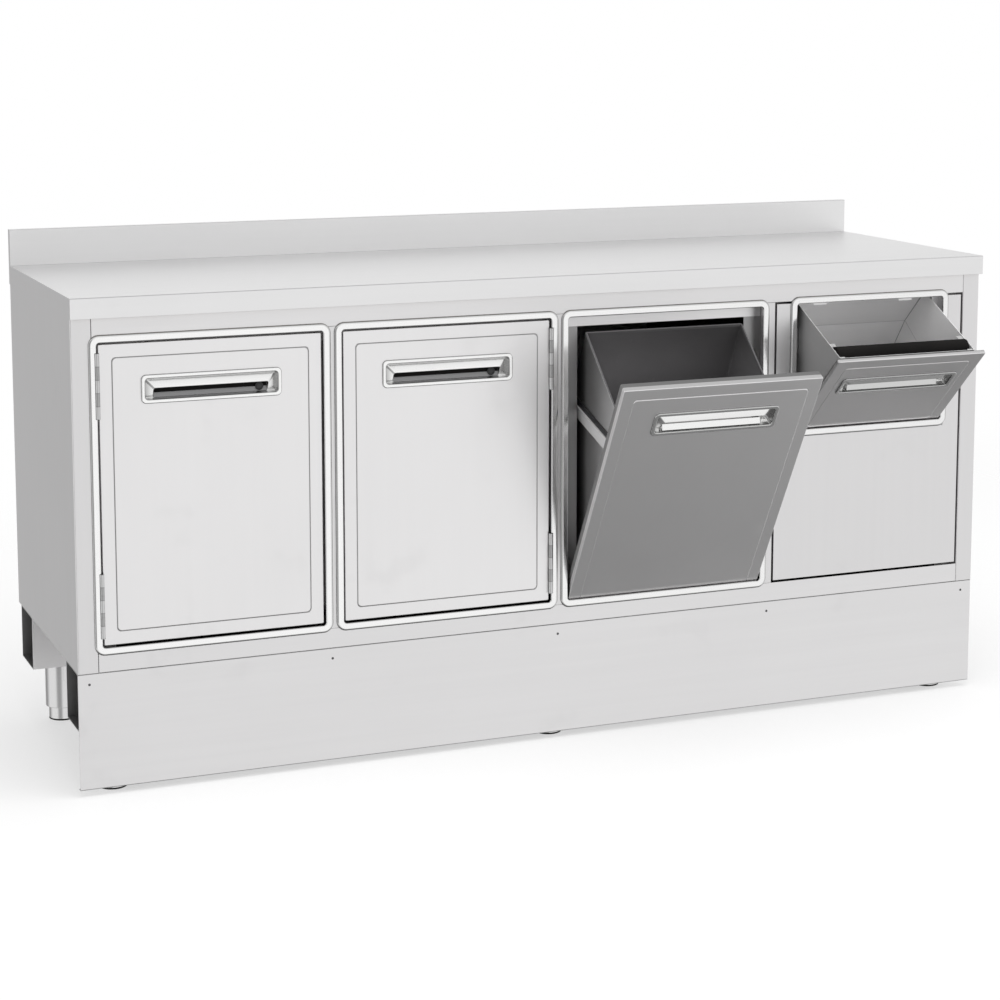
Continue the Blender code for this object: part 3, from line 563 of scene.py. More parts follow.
def moulded(name, colour, worn, rough, grit, gloss=0.5, inside=1.0):
    """Moulded plastic or rubber: an even fine grain, paler scuffs and a little dust. inside is how
    many times paler painted light makes the liner's inside deep down, and there painted shade
    darkens it from left to right. Where the piece's painted-shade attribute is 1, on its outside,
    the plain colour stays."""
    finish = Finish(name)
    pebble = finish.noise(grit, 3.0, 0.6)
    cloud = finish.noise(9.0, 3.0, 0.6, (5.0, 3.0, 1.0))
    scuff = finish.band(finish.noise((90.0, 90.0, 14.0), 3.0, 0.6, (1.0, 8.0, 2.0)), 0.62, 0.80)
    share = (cloud - 0.5) * 0.7 + scuff * 0.35 + (pebble - 0.5) * 0.3 + 0.3
    base = finish.tint(share, colour, worn)
    # Painted light deep in the liner that fades out towards its rim, and painted shade towards its right
    if inside > 1:
        pale = finish.tint(share, *(tuple(inside * part for part in one) for one in (colour, worn)))
        rim = finish.band(finish.axis(ALONG_Z), LINER_PAINTED_LIGHT_LOW, LINER_PAINTED_LIGHT_HIGH)
        right = finish.band(finish.axis(ALONG_X), BAY_X[2] - LINER_PAINTED_SHADE_SPAN, BAY_X[2] + LINER_PAINTED_SHADE_SPAN)
        pale = finish.darker(right, finish.darker(rim, pale, 1 - 1 / inside), 0.45)
        base = finish.mix(finish.tone(), pale, base)
    roughness = (pebble - 0.5) * 0.14 + (cloud - 0.5) * 0.10 + rough
    return finish.shade(base_color=base, roughness=roughness, specular_ior_level=gloss,
                        normal=finish.bump(pebble, 0.22, 0.0004))


def chipboard(name):
    """Pressed board: flakes of two woods with darker gaps between them."""
    finish = Finish(name)
    cells = finish.node("ShaderNodeTexVoronoi", {}, {"Vector": finish.where(), "Scale": 260.0},
                        "Distance")
    flakes = finish.noise((420.0, 180.0, 420.0), 3.0, 0.6)
    stain = finish.noise(14.0, 2.0, 0.5, (3.0, 1.0, 6.0))
    share = (flakes - 0.5) * 0.9 + (cells - 0.4) * 0.5 + (stain - 0.5) * 0.4 + 0.5
    base = finish.tint(share, (0.30, 0.20, 0.11), (0.60, 0.45, 0.28))
    return finish.shade(base_color=base, roughness=(flakes - 0.5) * 0.2 + 0.82,
                        normal=finish.bump(flakes, 0.35, 0.0006))


STEEL = (0.738, 0.731, 0.734)
FRONT_STEEL = (0.832, 0.825, 0.827)
steel_along = brushed("satin_steel_lengthwise", ALONG_X, (0.766, 0.759, 0.762), 0.40)
steel_up = brushed("satin_steel_upright", ALONG_Z, STEEL, 0.40, 0.028)
# Partitions, floor panel and channels carry painted shade inside the cabinet
inner_steel = brushed("satin_steel_partitions", ALONG_Z, STEEL, 0.40, inside=0.88,
                      starts=(0.018, 0.032))
floor_steel = brushed("satin_steel_floor", ALONG_X, STEEL, 0.42, inside=0.88)
front_rail_steel, rear_rail_steel = (
    brushed("satin_steel_" + node, ALONG_X, STEEL, 0.42, inside=0.6,
            walls=(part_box(node)[0][1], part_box(node)[1][1]))
    for node in ("front_channel", "rear_channel"))
front_steel = brushed("satin_steel_fronts", ALONG_Z, FRONT_STEEL, 0.40, 0.020)
tub_steel = brushed("satin_steel_tubs", ALONG_X, (0.80, 0.796, 0.798), 0.44)
box_steel = brushed("satin_steel_box", ALONG_X, (0.95, 0.945, 0.947), 0.50, metal=0.20)
top_steel = brushed("worktop_steel", ALONG_X, (0.79, 0.788, 0.79), 0.36, 0.03, 900.0)
rail_steel = brushed("plated_steel_rails", ALONG_Y, (0.86, 0.855, 0.857), 0.50, metal=0.40)
hinge_steel = knuckled("hinge_steel", (0.62, 0.62, 0.62), 0.30)
leg_steel = polished("leg_steel", ALONG_Z, (0.68, 0.676, 0.678), 0.19)
bright_along = polished("bright_steel_lengthwise", ALONG_X, (0.90, 0.90, 0.895), 0.20)
bright_up = polished("bright_steel_upright", ALONG_Z, (0.89, 0.888, 0.885), 0.15)
screw_steel = polished("dull_screw_steel", ALONG_Z, (0.16, 0.16, 0.165), 0.42)
# The liner's inside carries painted light deep down and painted shade to the right
liner_plastic = moulded("charcoal_liner_plastic", (0.108, 0.105, 0.108), (0.150, 0.146, 0.149),
                        0.66, 1400.0, 0.3, 2.15)
slot_plastic = moulded("grey_pocket_plastic", (0.27, 0.27, 0.274), (0.36, 0.36, 0.365),
                       0.50, 1800.0)
latch_plastic = moulded("black_latch_plastic", (0.012, 0.012, 0.013), (0.040, 0.040, 0.041),
                        0.34, 1800.0)
knock_rubber = moulded("black_knock_rubber", (0.006, 0.006, 0.006), (0.022, 0.020, 0.019),
                       0.85, 1100.0, 0.1)
pad_rubber = moulded("black_pad_rubber", (0.010, 0.010, 0.010), (0.040, 0.039, 0.038),
                     0.80, 900.0, 0.3)
core_board = chipboard("pressed_board")


# Worktop and body

def build_worktop():
    """The skin is one folded profile: front drop, top, upstand and its back. End plates close it."""
    half = LENGTH / 2 + WORKTOP_END_LIP
    step = BACK - UPSTAND_THICK
    inner_front, inner_back = WORKTOP_FRONT + SHEET, BACK - SHEET
    outer = ((WORKTOP_FRONT, UNDER_TOP), (WORKTOP_FRONT, HEIGHT), (step, HEIGHT), (step, CREST),
             (BACK, CREST), (BACK, UNDER_TOP))
    inner = ((inner_back, UNDER_TOP), (inner_back, CREST - SHEET), (step + SHEET, CREST - SHEET),
             (step + SHEET, HEIGHT - SHEET), (inner_front, HEIGHT - SHEET), (inner_front, UNDER_TOP))
    free, bend, fold, crest = 0.0003, 0.0028, 0.001, 0.002
    outer_radius = (free, bend, fold, crest, crest, free)
    inner_radius = (free, crest - SHEET, crest - SHEET, fold + SHEET, bend - SHEET, free)
    profile = bent(outer + inner, outer_radius + inner_radius)
    plate = bent(inner, inner_radius)
    piece("worktop_skin", [bar(profile, ALONG_X, -half, half)], top_steel, "cabinet",
          ("worktop",))
    ends = [bar(plate, ALONG_X, -half, SHEET - half), bar(plate, ALONG_X, half - SHEET, half)]
    piece("worktop_end_plates", ends, steel_up, "cabinet")


def build_side_panels():
    """Side walls as folded plan profiles: rear flange, wall, front strip, return and door stop."""
    outer, edge, stop = LENGTH / 2, -BAY_X[0] + OPEN_HALF, FRONT + STOP_BACK
    flange, reach = outer - REAR_FLANGE, edge - JAMB_REACH
    outside = ((flange, BACK), (outer, BACK), (outer, FRONT), (edge, FRONT), (edge, stop), (reach, stop))
    inside = ((reach, stop + SHEET), (edge + SHEET, stop + SHEET), (edge + SHEET, FRONT + SHEET),
              (outer - SHEET, FRONT + SHEET), (outer - SHEET, BACK - SHEET), (flange, BACK - SHEET))
    free, bend, jamb, fold = 0.0004, 0.0028, 0.0024, 0.0006
    radius = (free, bend, bend, jamb, fold, free,
              free, fold + SHEET, jamb - SHEET, bend - SHEET, bend - SHEET, free)
    wall = bar(bent(outside + inside, radius), ALONG_Z, BODY_LOW, UNDER_TOP - SEAT)
    piece("side_panel_right_folded", [wall], steel_up, "cabinet", ("side_panel_right",))
    piece("side_panel_left_folded", [mirrored(wall)], steel_up, "cabinet",
          ("side_panel_left",))


def build_trim(name, node, width, height, middle_x, middle_z, hinge_side=0):
    """A raised frame whose profile is a flat band between two round edges, carried round the
    opening. Its outer round edge is darkened by painted shade, its inner one more lightly, and its
    inner edge laps the gap round the front. Beside each hinge barrel, between the middle two of four
    stops, the inner edge steps back."""
    front, back = FRONT - TRIM_RAISE, FRONT - SEAT
    turn = np.linspace(0, pi / 2, 7)
    outer_deep, outer_wide, inner = 0.0035, 0.0050, 0.0020
    lapped = TRIM_WIDTH + TRIM_LAP
    inset = np.concatenate(([0.0], outer_wide * (1 - np.cos(turn)),
                            lapped - inner * (1 - np.cos(turn[::-1])), [lapped]))
    depth = np.concatenate(([back], front + outer_deep * (1 - np.sin(turn)),
                            front + inner * (1 - np.sin(turn[::-1])), [back]))
    radius = TRIM_RADIUS + (TRIM_INNER_RADIUS - TRIM_RADIUS) * inset / TRIM_WIDTH
    # Painted shade: full on the outer round edge, a third on the inner one, half at the back of the lap
    tone = np.concatenate(([1.0], np.cos(turn), 0.35 * np.cos(turn[::-1]), [0.5]))
    stops, clear, slant = [], 0.0005, 0.0001
    if hinge_side:
        for start in HINGE_LOWS:
            end = start + HINGE_HEIGHT
            stops += [start - clear - slant, start - clear, end + clear, end + clear + slant]
    reach = 2 * (TRIM_WIDTH - inset)
    rows = upright_rows(width + reach, height + reach, radius, depth, middle_z, stops)
    if hinge_side:
        first = CORNER_STEPS + 1
        cut = np.maximum(inset - (TRIM_WIDTH - BARREL_NOTCH), 0)[:, None]
        rows[:, (first + 1, first + 2, first + 5, first + 6), ALONG_X] += cut
    shell = skin(rows, True, tone[:, None])
    if hinge_side < 0:
        shell = mirrored(shell)
    piece(name, [moved(shell, (middle_x, 0, 0))], bright_up, "cabinet", (node,))


# Fronts

def front_shell(width, height, thick, top_flange, line_shade):
    """A pressed front as a ring of rows: the handle's hole, the face with its pressed line, the
    round edge, the side and the inside of the sheet. The line's depth is a cosine wave of the
    squared way across it, so its inner flank is the gentler one. line_shade paints shade into the
    pressed line, and the side behind the lip, in the gap round the front, carries painted shade.
    Towards the top the flange's depth goes from the sides' to the top's."""
    middle = height / 2
    grip = height - HANDLE_DROP - HANDLE_HEIGHT / 2
    hole_width = HANDLE_WIDTH - 2 * HANDLE_RIM + 2 * HANDLE_WALL + 2 * SEAT
    hole_height = HANDLE_HEIGHT - 2 * HANDLE_RIM + 2 * HANDLE_WALL + 2 * SEAT
    hole_radius, line_radius = 0.006, 0.008
    edge, corner, inner_corner = 0.002, 0.003, 0.0022
    turn = np.linspace(0, pi / 2, 5)
    wave = np.linspace(0, 1, 9)
    lip, seam = min(FRONT_LIP, top_flange - 0.001), 0.0002
    inset = np.concatenate((LINE_INSET + LINE_WIDTH * (1 - wave), edge * (1 - np.sin(turn)),
                            (0.0, 0.0, 0.0, SHEET, SHEET)))
    depth = np.concatenate((LINE_DEPTH * (1 - np.cos(2 * pi * wave ** 2)) / 2,
                            edge * (1 - np.cos(turn)), (lip - seam, lip + seam, thick, thick, SHEET)))
    radius = np.repeat((line_radius, corner, inner_corner), (len(wave), len(turn) + 3, 2))
    face = upright_rows(width - 2 * inset, height - 2 * inset, radius, depth, middle)
    for row in face[-3:-1]:
        share = np.clip((row[:, 2] - row[:, 2].max()) / FLANGE_TAPER + 1, 0, 1)
        row[:, 1] += (top_flange - thick) * share
    hole = upright_rows(hole_width, hole_height, hole_radius, (SHEET, 0.0), grip)
    # Painted shade in the pressed line, and on the side behind the lip
    tone = np.concatenate(((0.0, 0.0), line_shade * np.sin(pi * wave), np.zeros(len(turn) + 1),
                           (1.0, 1.0, 0.0, 0.0)))
    return skin(np.concatenate((hole, face)), True, tone[:, None])


def scoop_shell(height, pocket_shade):
    """A recessed pull as rows from its back to its floor: back, neck, flat rim with round edges, a
    step back, the scoop that comes forward again down to its lip, and the finger pocket under it.
    Along the step and the lip the depth runs from a top value to a low value, in the share of the
    way down that row. Painted shade darkens the rim where it meets the face and along its round
    edges, the step at its two ends, and the pocket's rows by the given shares."""
    grip = height - HANDLE_DROP - HANDLE_HEIGHT / 2
    mouth_w, mouth_h = HANDLE_WIDTH - 2 * HANDLE_RIM, HANDLE_HEIGHT - 2 * HANDLE_RIM
    wall = 2 * HANDLE_WALL
    floor_z = grip - mouth_h / 2 + HANDLE_WALL
    slot_w, slot_h = mouth_w - SLOT_INSET, SLOT_HEIGHT
    slot_z = floor_z + slot_h / 2
    step_h = mouth_h - 0.0028
    step_z = floor_z + step_h / 2
    soft, corner, mouth_corner, rim = 0.0022, 0.010, 0.006, -HANDLE_FLANGE
    turn = np.linspace(0, pi / 2, 6)
    round_in, round_back = soft * (1 - np.cos(turn)), soft * (1 - np.sin(turn))
    fold_in, fold_back = round_in[::-1], round_back[::-1]
    rows = [
        (slot_w + wall, slot_h + wall, 0.004, POCKET + HANDLE_WALL, slot_z),
        (mouth_w, mouth_h, 0.005, 0.0125, grip),
        (mouth_w + wall, mouth_h + wall, mouth_corner, 0.004, grip),
        (mouth_w + wall, mouth_h + wall, mouth_corner, -SEAT, grip),
        (HANDLE_WIDTH, HANDLE_HEIGHT, corner, -SEAT, grip),
        (HANDLE_WIDTH - 2 * round_in, HANDLE_HEIGHT - 2 * round_in, corner - round_in,
         rim + round_back, grip),
        (mouth_w + 2 * fold_in, mouth_h + 2 * fold_in, mouth_corner + fold_in, rim + fold_back, grip),
        (mouth_w - 0.001, mouth_h - 0.001, 0.0055, 0.0040, grip),
        (mouth_w - 0.003, step_h, 0.0050, 0.0090, step_z),
        (mouth_w - 0.004, step_h - 0.0006, 0.0050, 0.0088, step_z),
        (slot_w + 0.003, slot_h + 0.0015, 0.0045, 0.0026, slot_z + 0.0007),
        (slot_w + 0.001, slot_h + 0.0005, 0.0040, 0.0022, slot_z + 0.0002),
        (slot_w, slot_h, 0.0035, 0.0032, slot_z),
        (slot_w, slot_h, 0.0035, POCKET, slot_z),
    ]
    low_depths = (0.0, 0.0090, 0.0093, 0.0125, 0.0135, 0.0140, 0.0)
    # Painted shade of each row, then of the pocket's rows
    row_shade = [0, 0, 0, 1, 1, np.cos(turn), np.cos(turn[::-1]), *pocket_shade]
    tone = np.concatenate([np.broadcast_to(one, np.size(row[0])) for one, row in zip(row_shade, rows)])
    grid = np.concatenate([upright_rows(*row) for row in rows])
    tone = np.repeat(tone[:, None], grid.shape[1], 1)
    # Painted shade at the two ends of the step
    edge, left_shade, right_shade = mouth_w / 2 - 0.004, 0.85, 0.6
    step = slice(-7, -4)
    across = grid[step, :, ALONG_X]
    tone[step] = np.where(across < -edge, left_shade, np.where(across > edge, right_shade, tone[step]))
    for row, low in zip(grid[-7:], low_depths):
        if low:
            share = (row[:, 2].max() - row[:, 2]) / (row[:, 2].max() - row[:, 2].min())
            row[:, 1] += (low - row[0, 1]) * share
    return skin(grid, False, tone), (slot_w, slot_z - slot_h / 2, slot_z + slot_h / 2)


def build_front(name, place, width, height, thick, top_flange, plate_shade=None):
    """A front and its pull. In the finger pocket lie a ledge, a strip above it under the lip and a
    round latch button. The strip is painted shade under the lip: black on a door and steel on a
    tilting front. A door's ledge is dark and leans back. A tilting front's ledge is a bright plate
    that faces up and carries painted shade by plate_shade."""
    is_door = plate_shade is None
    shell = place.put(front_shell(width, height, thick, top_flange, float(is_door)))
    piece(name + "_pressed_front", [shell], front_steel, name, (name + "_front",))
    # Painted shade in the pocket's rows
    if is_door:
        pocket_shade = (0.7, 0.25, 0.2, 0.0, 0.3, 1.0, 1.0)
    else:
        pocket_shade = (0.2, 0.0, 0.0, 0.1, 0.5, 0.3, 0.3)
    scoop, (slot_w, slot_low, slot_high) = scoop_shell(height, pocket_shade)
    piece(name + "_pull_scoop", [place.put(scoop)], bright_along, name,
          (name + "_handle",))
    clear, free = 0.0006, 0.00008
    left, back, low = clear - slot_w / 2, POCKET - SEAT, slot_low + 0.0004
    ledge, top = slot_low + (0.0095 if is_door else 0.0115), slot_high - clear
    if is_door:
        right, look, material = -left, slot_plastic, "dark_plastic"
        slope = ((0.0122, low), (0.0130, ledge - 0.0005), (0.0136, ledge))
    else:
        right, look, material = LATCH_X + 0.009, bright_along, "bright_steel"
        slope = ((0.0016, low), (0.0010, low + 0.0008), (0.0081, ledge))
    profile = bent(((back, low), *slope, (back, ledge)), free, 2)
    # A tilting front's plate carries painted shade
    shelf = bar(profile, ALONG_X, left, right, plate_shade or 0.0)
    piece(name + "_pocket_ledge", [place.put(shelf)], look, name)
    # A strip painted as the shade under the lip
    strip_low, strip_front = ledge + 0.0001, back - 0.0006
    strip = ((back, strip_low), (strip_front, strip_low), (strip_front, top), (back, top))
    shade_strip = bar(bent(strip, free, 2), ALONG_X, left, -left)
    look, material = (knock_rubber, "black_rubber") if is_door else (tub_steel, "sheet_steel")
    piece(name + "_pocket_shade_strip", [place.put(shade_strip)], look, name)
    button = ((0.0078, 0.0136), (0.0082, 0.0112), (0.0078, 0.0106), (0.0058, 0.0104), (0.0054, 0.0110),
              (0.0050, 0.0104), (0.0012, 0.0101))
    latch = spun(button, ALONG_Y, (LATCH_X, (slot_low + slot_high) / 2))
    piece(name + "_pull_latch", [place.put(latch)], latch_plastic, name)


DOOR_1 = Place(BAY_X[0], FRONT_LOW)
DOOR_2 = Place(BAY_X[1], FRONT_LOW)
BIN = Place(BAY_X[2], FRONT_LOW, BIN_PIVOT, BIN_TILT)
DRAWER = Place(BAY_X[3], DRAWER_LOW, DRAWER_PIVOT, DRAWER_TILT)


# Bin and drawer

def tub_shell(half, front, back, low, rim, wall, radius, soft, fold=None, outside=(1.0, 1.0)):
    """An open tub: floor inside, round foot, wall, half-round rim, outer wall and floor outside.
    The foot's rows follow a quarter circle in inset and height, and the rim's a half circle. Above
    the fold's height the back wall is upright. A folded tub carries painted shade inside along the
    fold, in its two back corners and at its right front. outside gives the painted shade of the
    outer wall's two back corners and of its two front ones."""
    turn = np.linspace(0, pi / 2, 5)
    foot_in, foot_up = soft * (1 - np.sin(turn)), soft * (1 - np.cos(turn))
    ring = np.linspace(0, pi, 7)
    span = rim(back[1]) - low
    crease = np.zeros(0) if fold is None else fold - low + FOLD_SOFT * np.array((-1, 0, 1))
    share = np.concatenate((foot_up, crease)) / span
    lean = np.concatenate((foot_up / span, np.minimum(crease / crease[1:2], 1)))
    inset = np.concatenate((foot_in, 0 * crease))
    inner = tub_rows(half, front, back, rim, wall + inset, max(radius - wall, 0.001) + inset / 2, share,
                     low + wall, lean)
    top = tub_rows(half, front, back, rim, wall / 2 * (1 + np.cos(ring)), radius, 1.0, low)
    top[..., 2] += (wall / 2 * np.sin(ring))[:, None]
    outer = tub_rows(half, front, back, rim, inset[::-1], radius + inset[::-1] / 2, share[::-1], low,
                     lean[::-1])
    rows = np.concatenate((inner, top, outer))
    tone = np.zeros(rows.shape[:2])
    corner = CORNER_STEPS + 1
    outer_rows = len(outer) + len(ring) // 2
    tone[-outer_rows:] = outside[1]
    tone[-outer_rows:, corner:3 * corner] = outside[0]
    if fold is not None:
        # Painted shade inside the folded box
        right_front_shade, right_back_shade = 0.8, 0.12
        inside = slice(len(inner) + 1)
        tone[len(foot_up) + 1, corner:3 * corner] = 1
        tone[inside, :corner] += right_front_shade
        tone[inside, corner:2 * corner] += right_back_shade
        tone[inside, corner:3 * corner] += np.tile(np.sin(np.linspace(0, pi, corner)), 2)
    return skin(rows, False, np.minimum(tone, 1))


def build_bin():
    """The steel tub with its pins, its two stop arms as pale rails and black strips painted as the
    shadow in their slots, and the charcoal liner that lifts out of it. The liner's lip is a thin cap
    over the tub's rim."""
    front, half = DOOR_THICK + SEAT, BIN_HALF
    back, low = (0.255, 0.280), 0.006
    rim_front, rim_back, lip_deep = 0.455, 0.519, 0.004
    rim = sloping(front, rim_front - lip_deep, back[1], rim_back - lip_deep)
    # Painted shade on the back of the tub's outer wall
    tub = tub_shell(half, front, back, low, rim, SHEET, 0.004, 0.003, outside=(0.9, 0.0))
    pin = ((0.0042, half - SHEET / 2), (0.005, half), (0.005, 0.219), (0.0042, 0.220))
    shells = [tub, *both_ends(pin, BIN.pivot)]
    # Black strips painted as the shadow in the arms' slots, and the pale rails below them
    slot = ((front, 0.4195), (0.245, 0.3745), (0.242, 0.3625), (front, 0.4085))
    rail = ((front, 0.4080), (0.238, 0.3625), (0.232, 0.3405), (front, 0.3830))
    slot_shadows, rails = [], []
    for side in (-1, 1):
        for outline, proud, group in ((slot, 0.0025, slot_shadows), (rail, 0.0055, rails)):
            near, far = sorted((side * (half - SHEET / 2), side * (half + proud)))
            group.append(bar(bent(outline, 0.002), ALONG_X, near, far))
    piece("bin_tub_with_arms", [BIN.put(shell) for shell in shells], tub_steel, "bin",
          ("bin_carrier",))
    piece("bin_arm_slot_shadows", [BIN.put(shell) for shell in slot_shadows], latch_plastic, "bin")
    piece("bin_arm_rails", [BIN.put(shell) for shell in rails], rail_steel, "bin")

    clear = SHEET + LINER_CLEAR
    liner = tub_shell(half - clear, front + clear, (back[0] - clear, back[1] - clear),
                      low + SHEET + SEAT, rim, LINER_WALL, 0.004, 0.006)
    outside, inside, tall, soft = 0.0008, 0.0040, 0.0018, 0.0006
    lip = tub_rows(half, front, back, rim,
                   (outside, outside, outside + soft, inside - soft, inside, inside),
                   (0.0045, 0.0045, 0.0040, 0.0025, 0.0020, 0.0020), 1.0, low)
    rise = (-lip_deep, tall - soft, tall, tall, tall - soft, -lip_deep)
    lip[..., 2] += np.array(rise)[:, None]
    shells = [BIN.put(liner), BIN.put(skin(lip, ring=True, tone=1.0))]
    piece("bin_lift_out_liner", shells, liner_plastic, "liner", ("bin_liner",))


def build_drawer():
    """The knock drawer's steel box with its pins, the rubber bar between two steel end caps, and the
    four tabs on the box's sides that hold the bar."""
    front, half = DRAWER_THICK + SEAT, DRAWER_WIDTH / 2 - 0.0145
    back, low, fold = (0.217, 0.230), 0.002, 0.072
    rim = sloping(front, 0.254 - SHEET / 2, back[1], 0.179 - SHEET / 2)
    # Painted shade on the box's whole outer wall, along its fold and in its corners
    box = tub_shell(half, front, back, low, rim, SHEET, 0.003, 0.001, fold)
    end = DRAWER_WIDTH / 2 + 0.0025 + 0.003 + SEAT
    pin = ((0.0034, half - SHEET / 2), (0.004, half), (0.004, end - 0.0006), (0.0034, end))
    shells = [box, *both_ends(pin, DRAWER.pivot)]
    piece("drawer_knock_box", [DRAWER.put(shell) for shell in shells], box_steel, "drawer",
          ("drawer_box",))

    along = front + SHEET + 0.022
    centre = (along, rim(along) - 0.011)
    reach, cap, soft = half - SHEET - SEAT, 0.003, 0.0015
    turn = np.linspace(0, pi / 2, 5)
    nose = np.stack((0.0150 + soft * np.sin(turn), cap - reach + soft * (1 - np.cos(turn))), -1)
    sleeve = np.concatenate((nose, nose[::-1] * (1, -1)))
    piece("knock_bar_sleeve", [DRAWER.put(spun(sleeve, ALONG_X, centre))], knock_rubber, "drawer",
          ("knock_bar",))
    disc = ((0.0095, reach), (0.0105, reach - 0.0008), (0.0105, reach - cap + SEAT),
            (0.0095, reach - cap))
    holders = both_ends(disc, centre)
    drop, tab_wide = 0.0015, 0.013
    for near, far in ((front + SHEET + 0.0002, along - 0.0170), (along + 0.0175, along + 0.0285)):
        high_near, high_far = rim(near) - drop, rim(far) - drop
        tab = bent(((near, high_near), (far, high_far), (far, high_far - SHEET),
                    (near, high_near - SHEET)), 0.0004, 2)
        for side in (-1, 1):
            low_x, high_x = sorted((side * reach, side * (reach - tab_wide)))
            holders.append(bar(tab, ALONG_X, low_x, high_x))
    piece("knock_bar_holders", [DRAWER.put(one) for one in holders], bright_along, "drawer")


# Base

def build_legs():
    """Turned leg tubes, and in each a foot with a black pad under it."""
    names = ["%s_%s" % (row, side) for row in ("front", "rear") for side in ("left", "middle", "right")]
    for number, name in enumerate(names, start=1):
        low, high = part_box("leg_" + name)
        centre = ((low[0] + high[0]) / 2, (low[1] + high[1]) / 2)
        outer, base, top = (high[0] - low[0]) / 2, low[2], high[2]
        inner = outer - LEG_WALL
        tube = ((inner, top - 0.004), (inner, base + 0.001), (inner + 0.001, base),
                (outer - 0.0016, base), (outer - 0.0005, base + 0.0005), (outer, base + 0.0016),
                (outer, top - 0.0012), (outer - 0.0012, top))
        piece("leg_%s_tube" % name, [spun(tube, ALONG_Z, centre)], leg_steel, "cabinet",
              ("leg_" + name,))
        low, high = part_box("foot_" + name)
        outer, base, top = (high[0] - low[0]) / 2, low[2], high[2]
        stem = ((outer - 0.0008, base + 0.0032), (outer, base + 0.0040), (outer, top - 0.001),
                (outer - 0.001, top))
        body = "foot_%d" % number
        piece("foot_%s_stem" % name, [spun(stem, ALONG_Z, centre)], leg_steel, body,
              ("foot_" + name,))
        pad = ((outer - 0.0015, base), (outer - 0.0003, base + 0.0006), (outer, base + 0.0012),
               (outer, base + 0.0026), (outer - 0.0008, base + 0.0033))
        piece("foot_%s_pad" % name, [spun(pad, ALONG_Z, centre)], pad_rubber, body)


def build_plinth():
    """The plinth, folded back at its foot and with painted shade along its top edge, and its row of
    screws.
    """
    near, low, edge = PLINTH_FRONT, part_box("plinth")[0][2], PLINTH_HIGH - PLINTH_EDGE_DROP
    free, bend, shade_edge = 0.0004, 0.0024, 0.0008
    profile = ((near, low), (near + PLINTH_HEM, low), (near + PLINTH_HEM, low + SHEET),
               (near + SHEET, low + SHEET), (near + SHEET, edge), (near, edge))
    outline = np.vstack((bent(profile, (bend, free, free, bend - SHEET, free, free)),
                         (near, edge - 2 * shade_edge)))
    # Painted shade along the top edge
    tone = (outline[:, 1] > edge - shade_edge).astype(float)
    board = bar(outline, ALONG_X, -LENGTH / 2, LENGTH / 2, tone)
    piece("plinth_board", [board], steel_along, "cabinet", ("plinth",))
    head_radius, head_rise = 0.0026, 0.0011
    turn = np.linspace(0, pi / 2, 6)
    dome = np.stack((head_radius * np.sin(turn), near - head_rise * np.cos(turn)), -1)
    socket = ((0.0010, near - 0.0004), (0.0013, near - 0.0012))
    head = np.concatenate((socket, dome[3:], ((head_radius, near + 0.0002),)))
    for index, across in enumerate(SCREW_X, start=1):
        centre = (across - LENGTH / 2, PLINTH_HIGH - SCREW_DROP)
        piece("plinth_screw_%d" % index, [spun(head, ALONG_Y, centre)], screw_steel, "cabinet")


# Small fittings in the openings

def build_fittings():
    """Two stop tabs that hang behind the drawer's trim, and an angle at each side of its opening: one
    leg along the jamb and one that faces the front beside the box. The left angle is the shorter."""
    free, tab_half = 0.0004, 0.0165
    top, low = OPEN_HIGH - 0.001, DRAWER_CLEAR_LOW + DRAWER_CLEAR[1] - 0.0075
    near = FRONT + 0.0098
    far = near + SHEET
    profile = bent(((near, top), (near, low), (far, low), (far, top)), free)
    for index, across in enumerate((-0.118, 0.092), start=1):
        middle = BAY_X[3] + across
        tab = bar(profile, ALONG_X, middle - tab_half, middle + tab_half)
        piece("drawer_stop_tab_%d" % index, [tab], steel_along, "cabinet")
    jamb, leg = DRAWER_CLEAR[0] / 2 + 0.0005, DRAWER_WIDTH / 2 - 0.0125
    start, end = FRONT + SHEET + SEAT, FRONT + 0.0215
    plan = ((jamb, start), (jamb + SHEET, start), (jamb + SHEET, end), (leg, end), (leg, end - SHEET),
            (jamb, end - SHEET))
    right = bar(bent(plan, free), ALONG_Z, 0.784, 0.884)
    left = mirrored(bar(bent(plan, free), ALONG_Z, 0.776, 0.829))
    for side, shell in (("right", right), ("left", left)):
        piece("drawer_jamb_angle_" + side, [moved(shell, (BAY_X[3], 0, 0))], steel_up, "cabinet")


build_worktop()
build_side_panels()
for number, hinge_side in ((1, -1), (2, 1), (3, 0)):
    build_trim("trim_%d_band" % number, "trim_frame_%d" % number, BAY_WIDTH, BAY_HIGH - BAY_LOW,
               BAY_X[number - 1], (BAY_LOW + BAY_HIGH) / 2, hinge_side)
build_trim("trim_drawer_band", "trim_frame_drawer", *DRAWER_CLEAR, BAY_X[3],
           DRAWER_CLEAR_LOW + DRAWER_CLEAR[1] / 2)
build_front("door_1", DOOR_1, FRONT_WIDTH, FRONT_HEIGHT, DOOR_THICK, DOOR_THICK)
build_front("door_2", DOOR_2, FRONT_WIDTH, FRONT_HEIGHT, DOOR_THICK, DOOR_THICK)
build_front("bin", BIN, FRONT_WIDTH, FRONT_HEIGHT, DOOR_THICK, DOOR_THICK, plate_shade=0.0)
build_front("drawer", DRAWER, DRAWER_WIDTH, DRAWER_HEIGHT, DRAWER_THICK, DRAWER_TOP_FLANGE,
            plate_shade=0.40)
build_bin()
build_drawer()
build_legs()
build_plinth()
build_fittings()

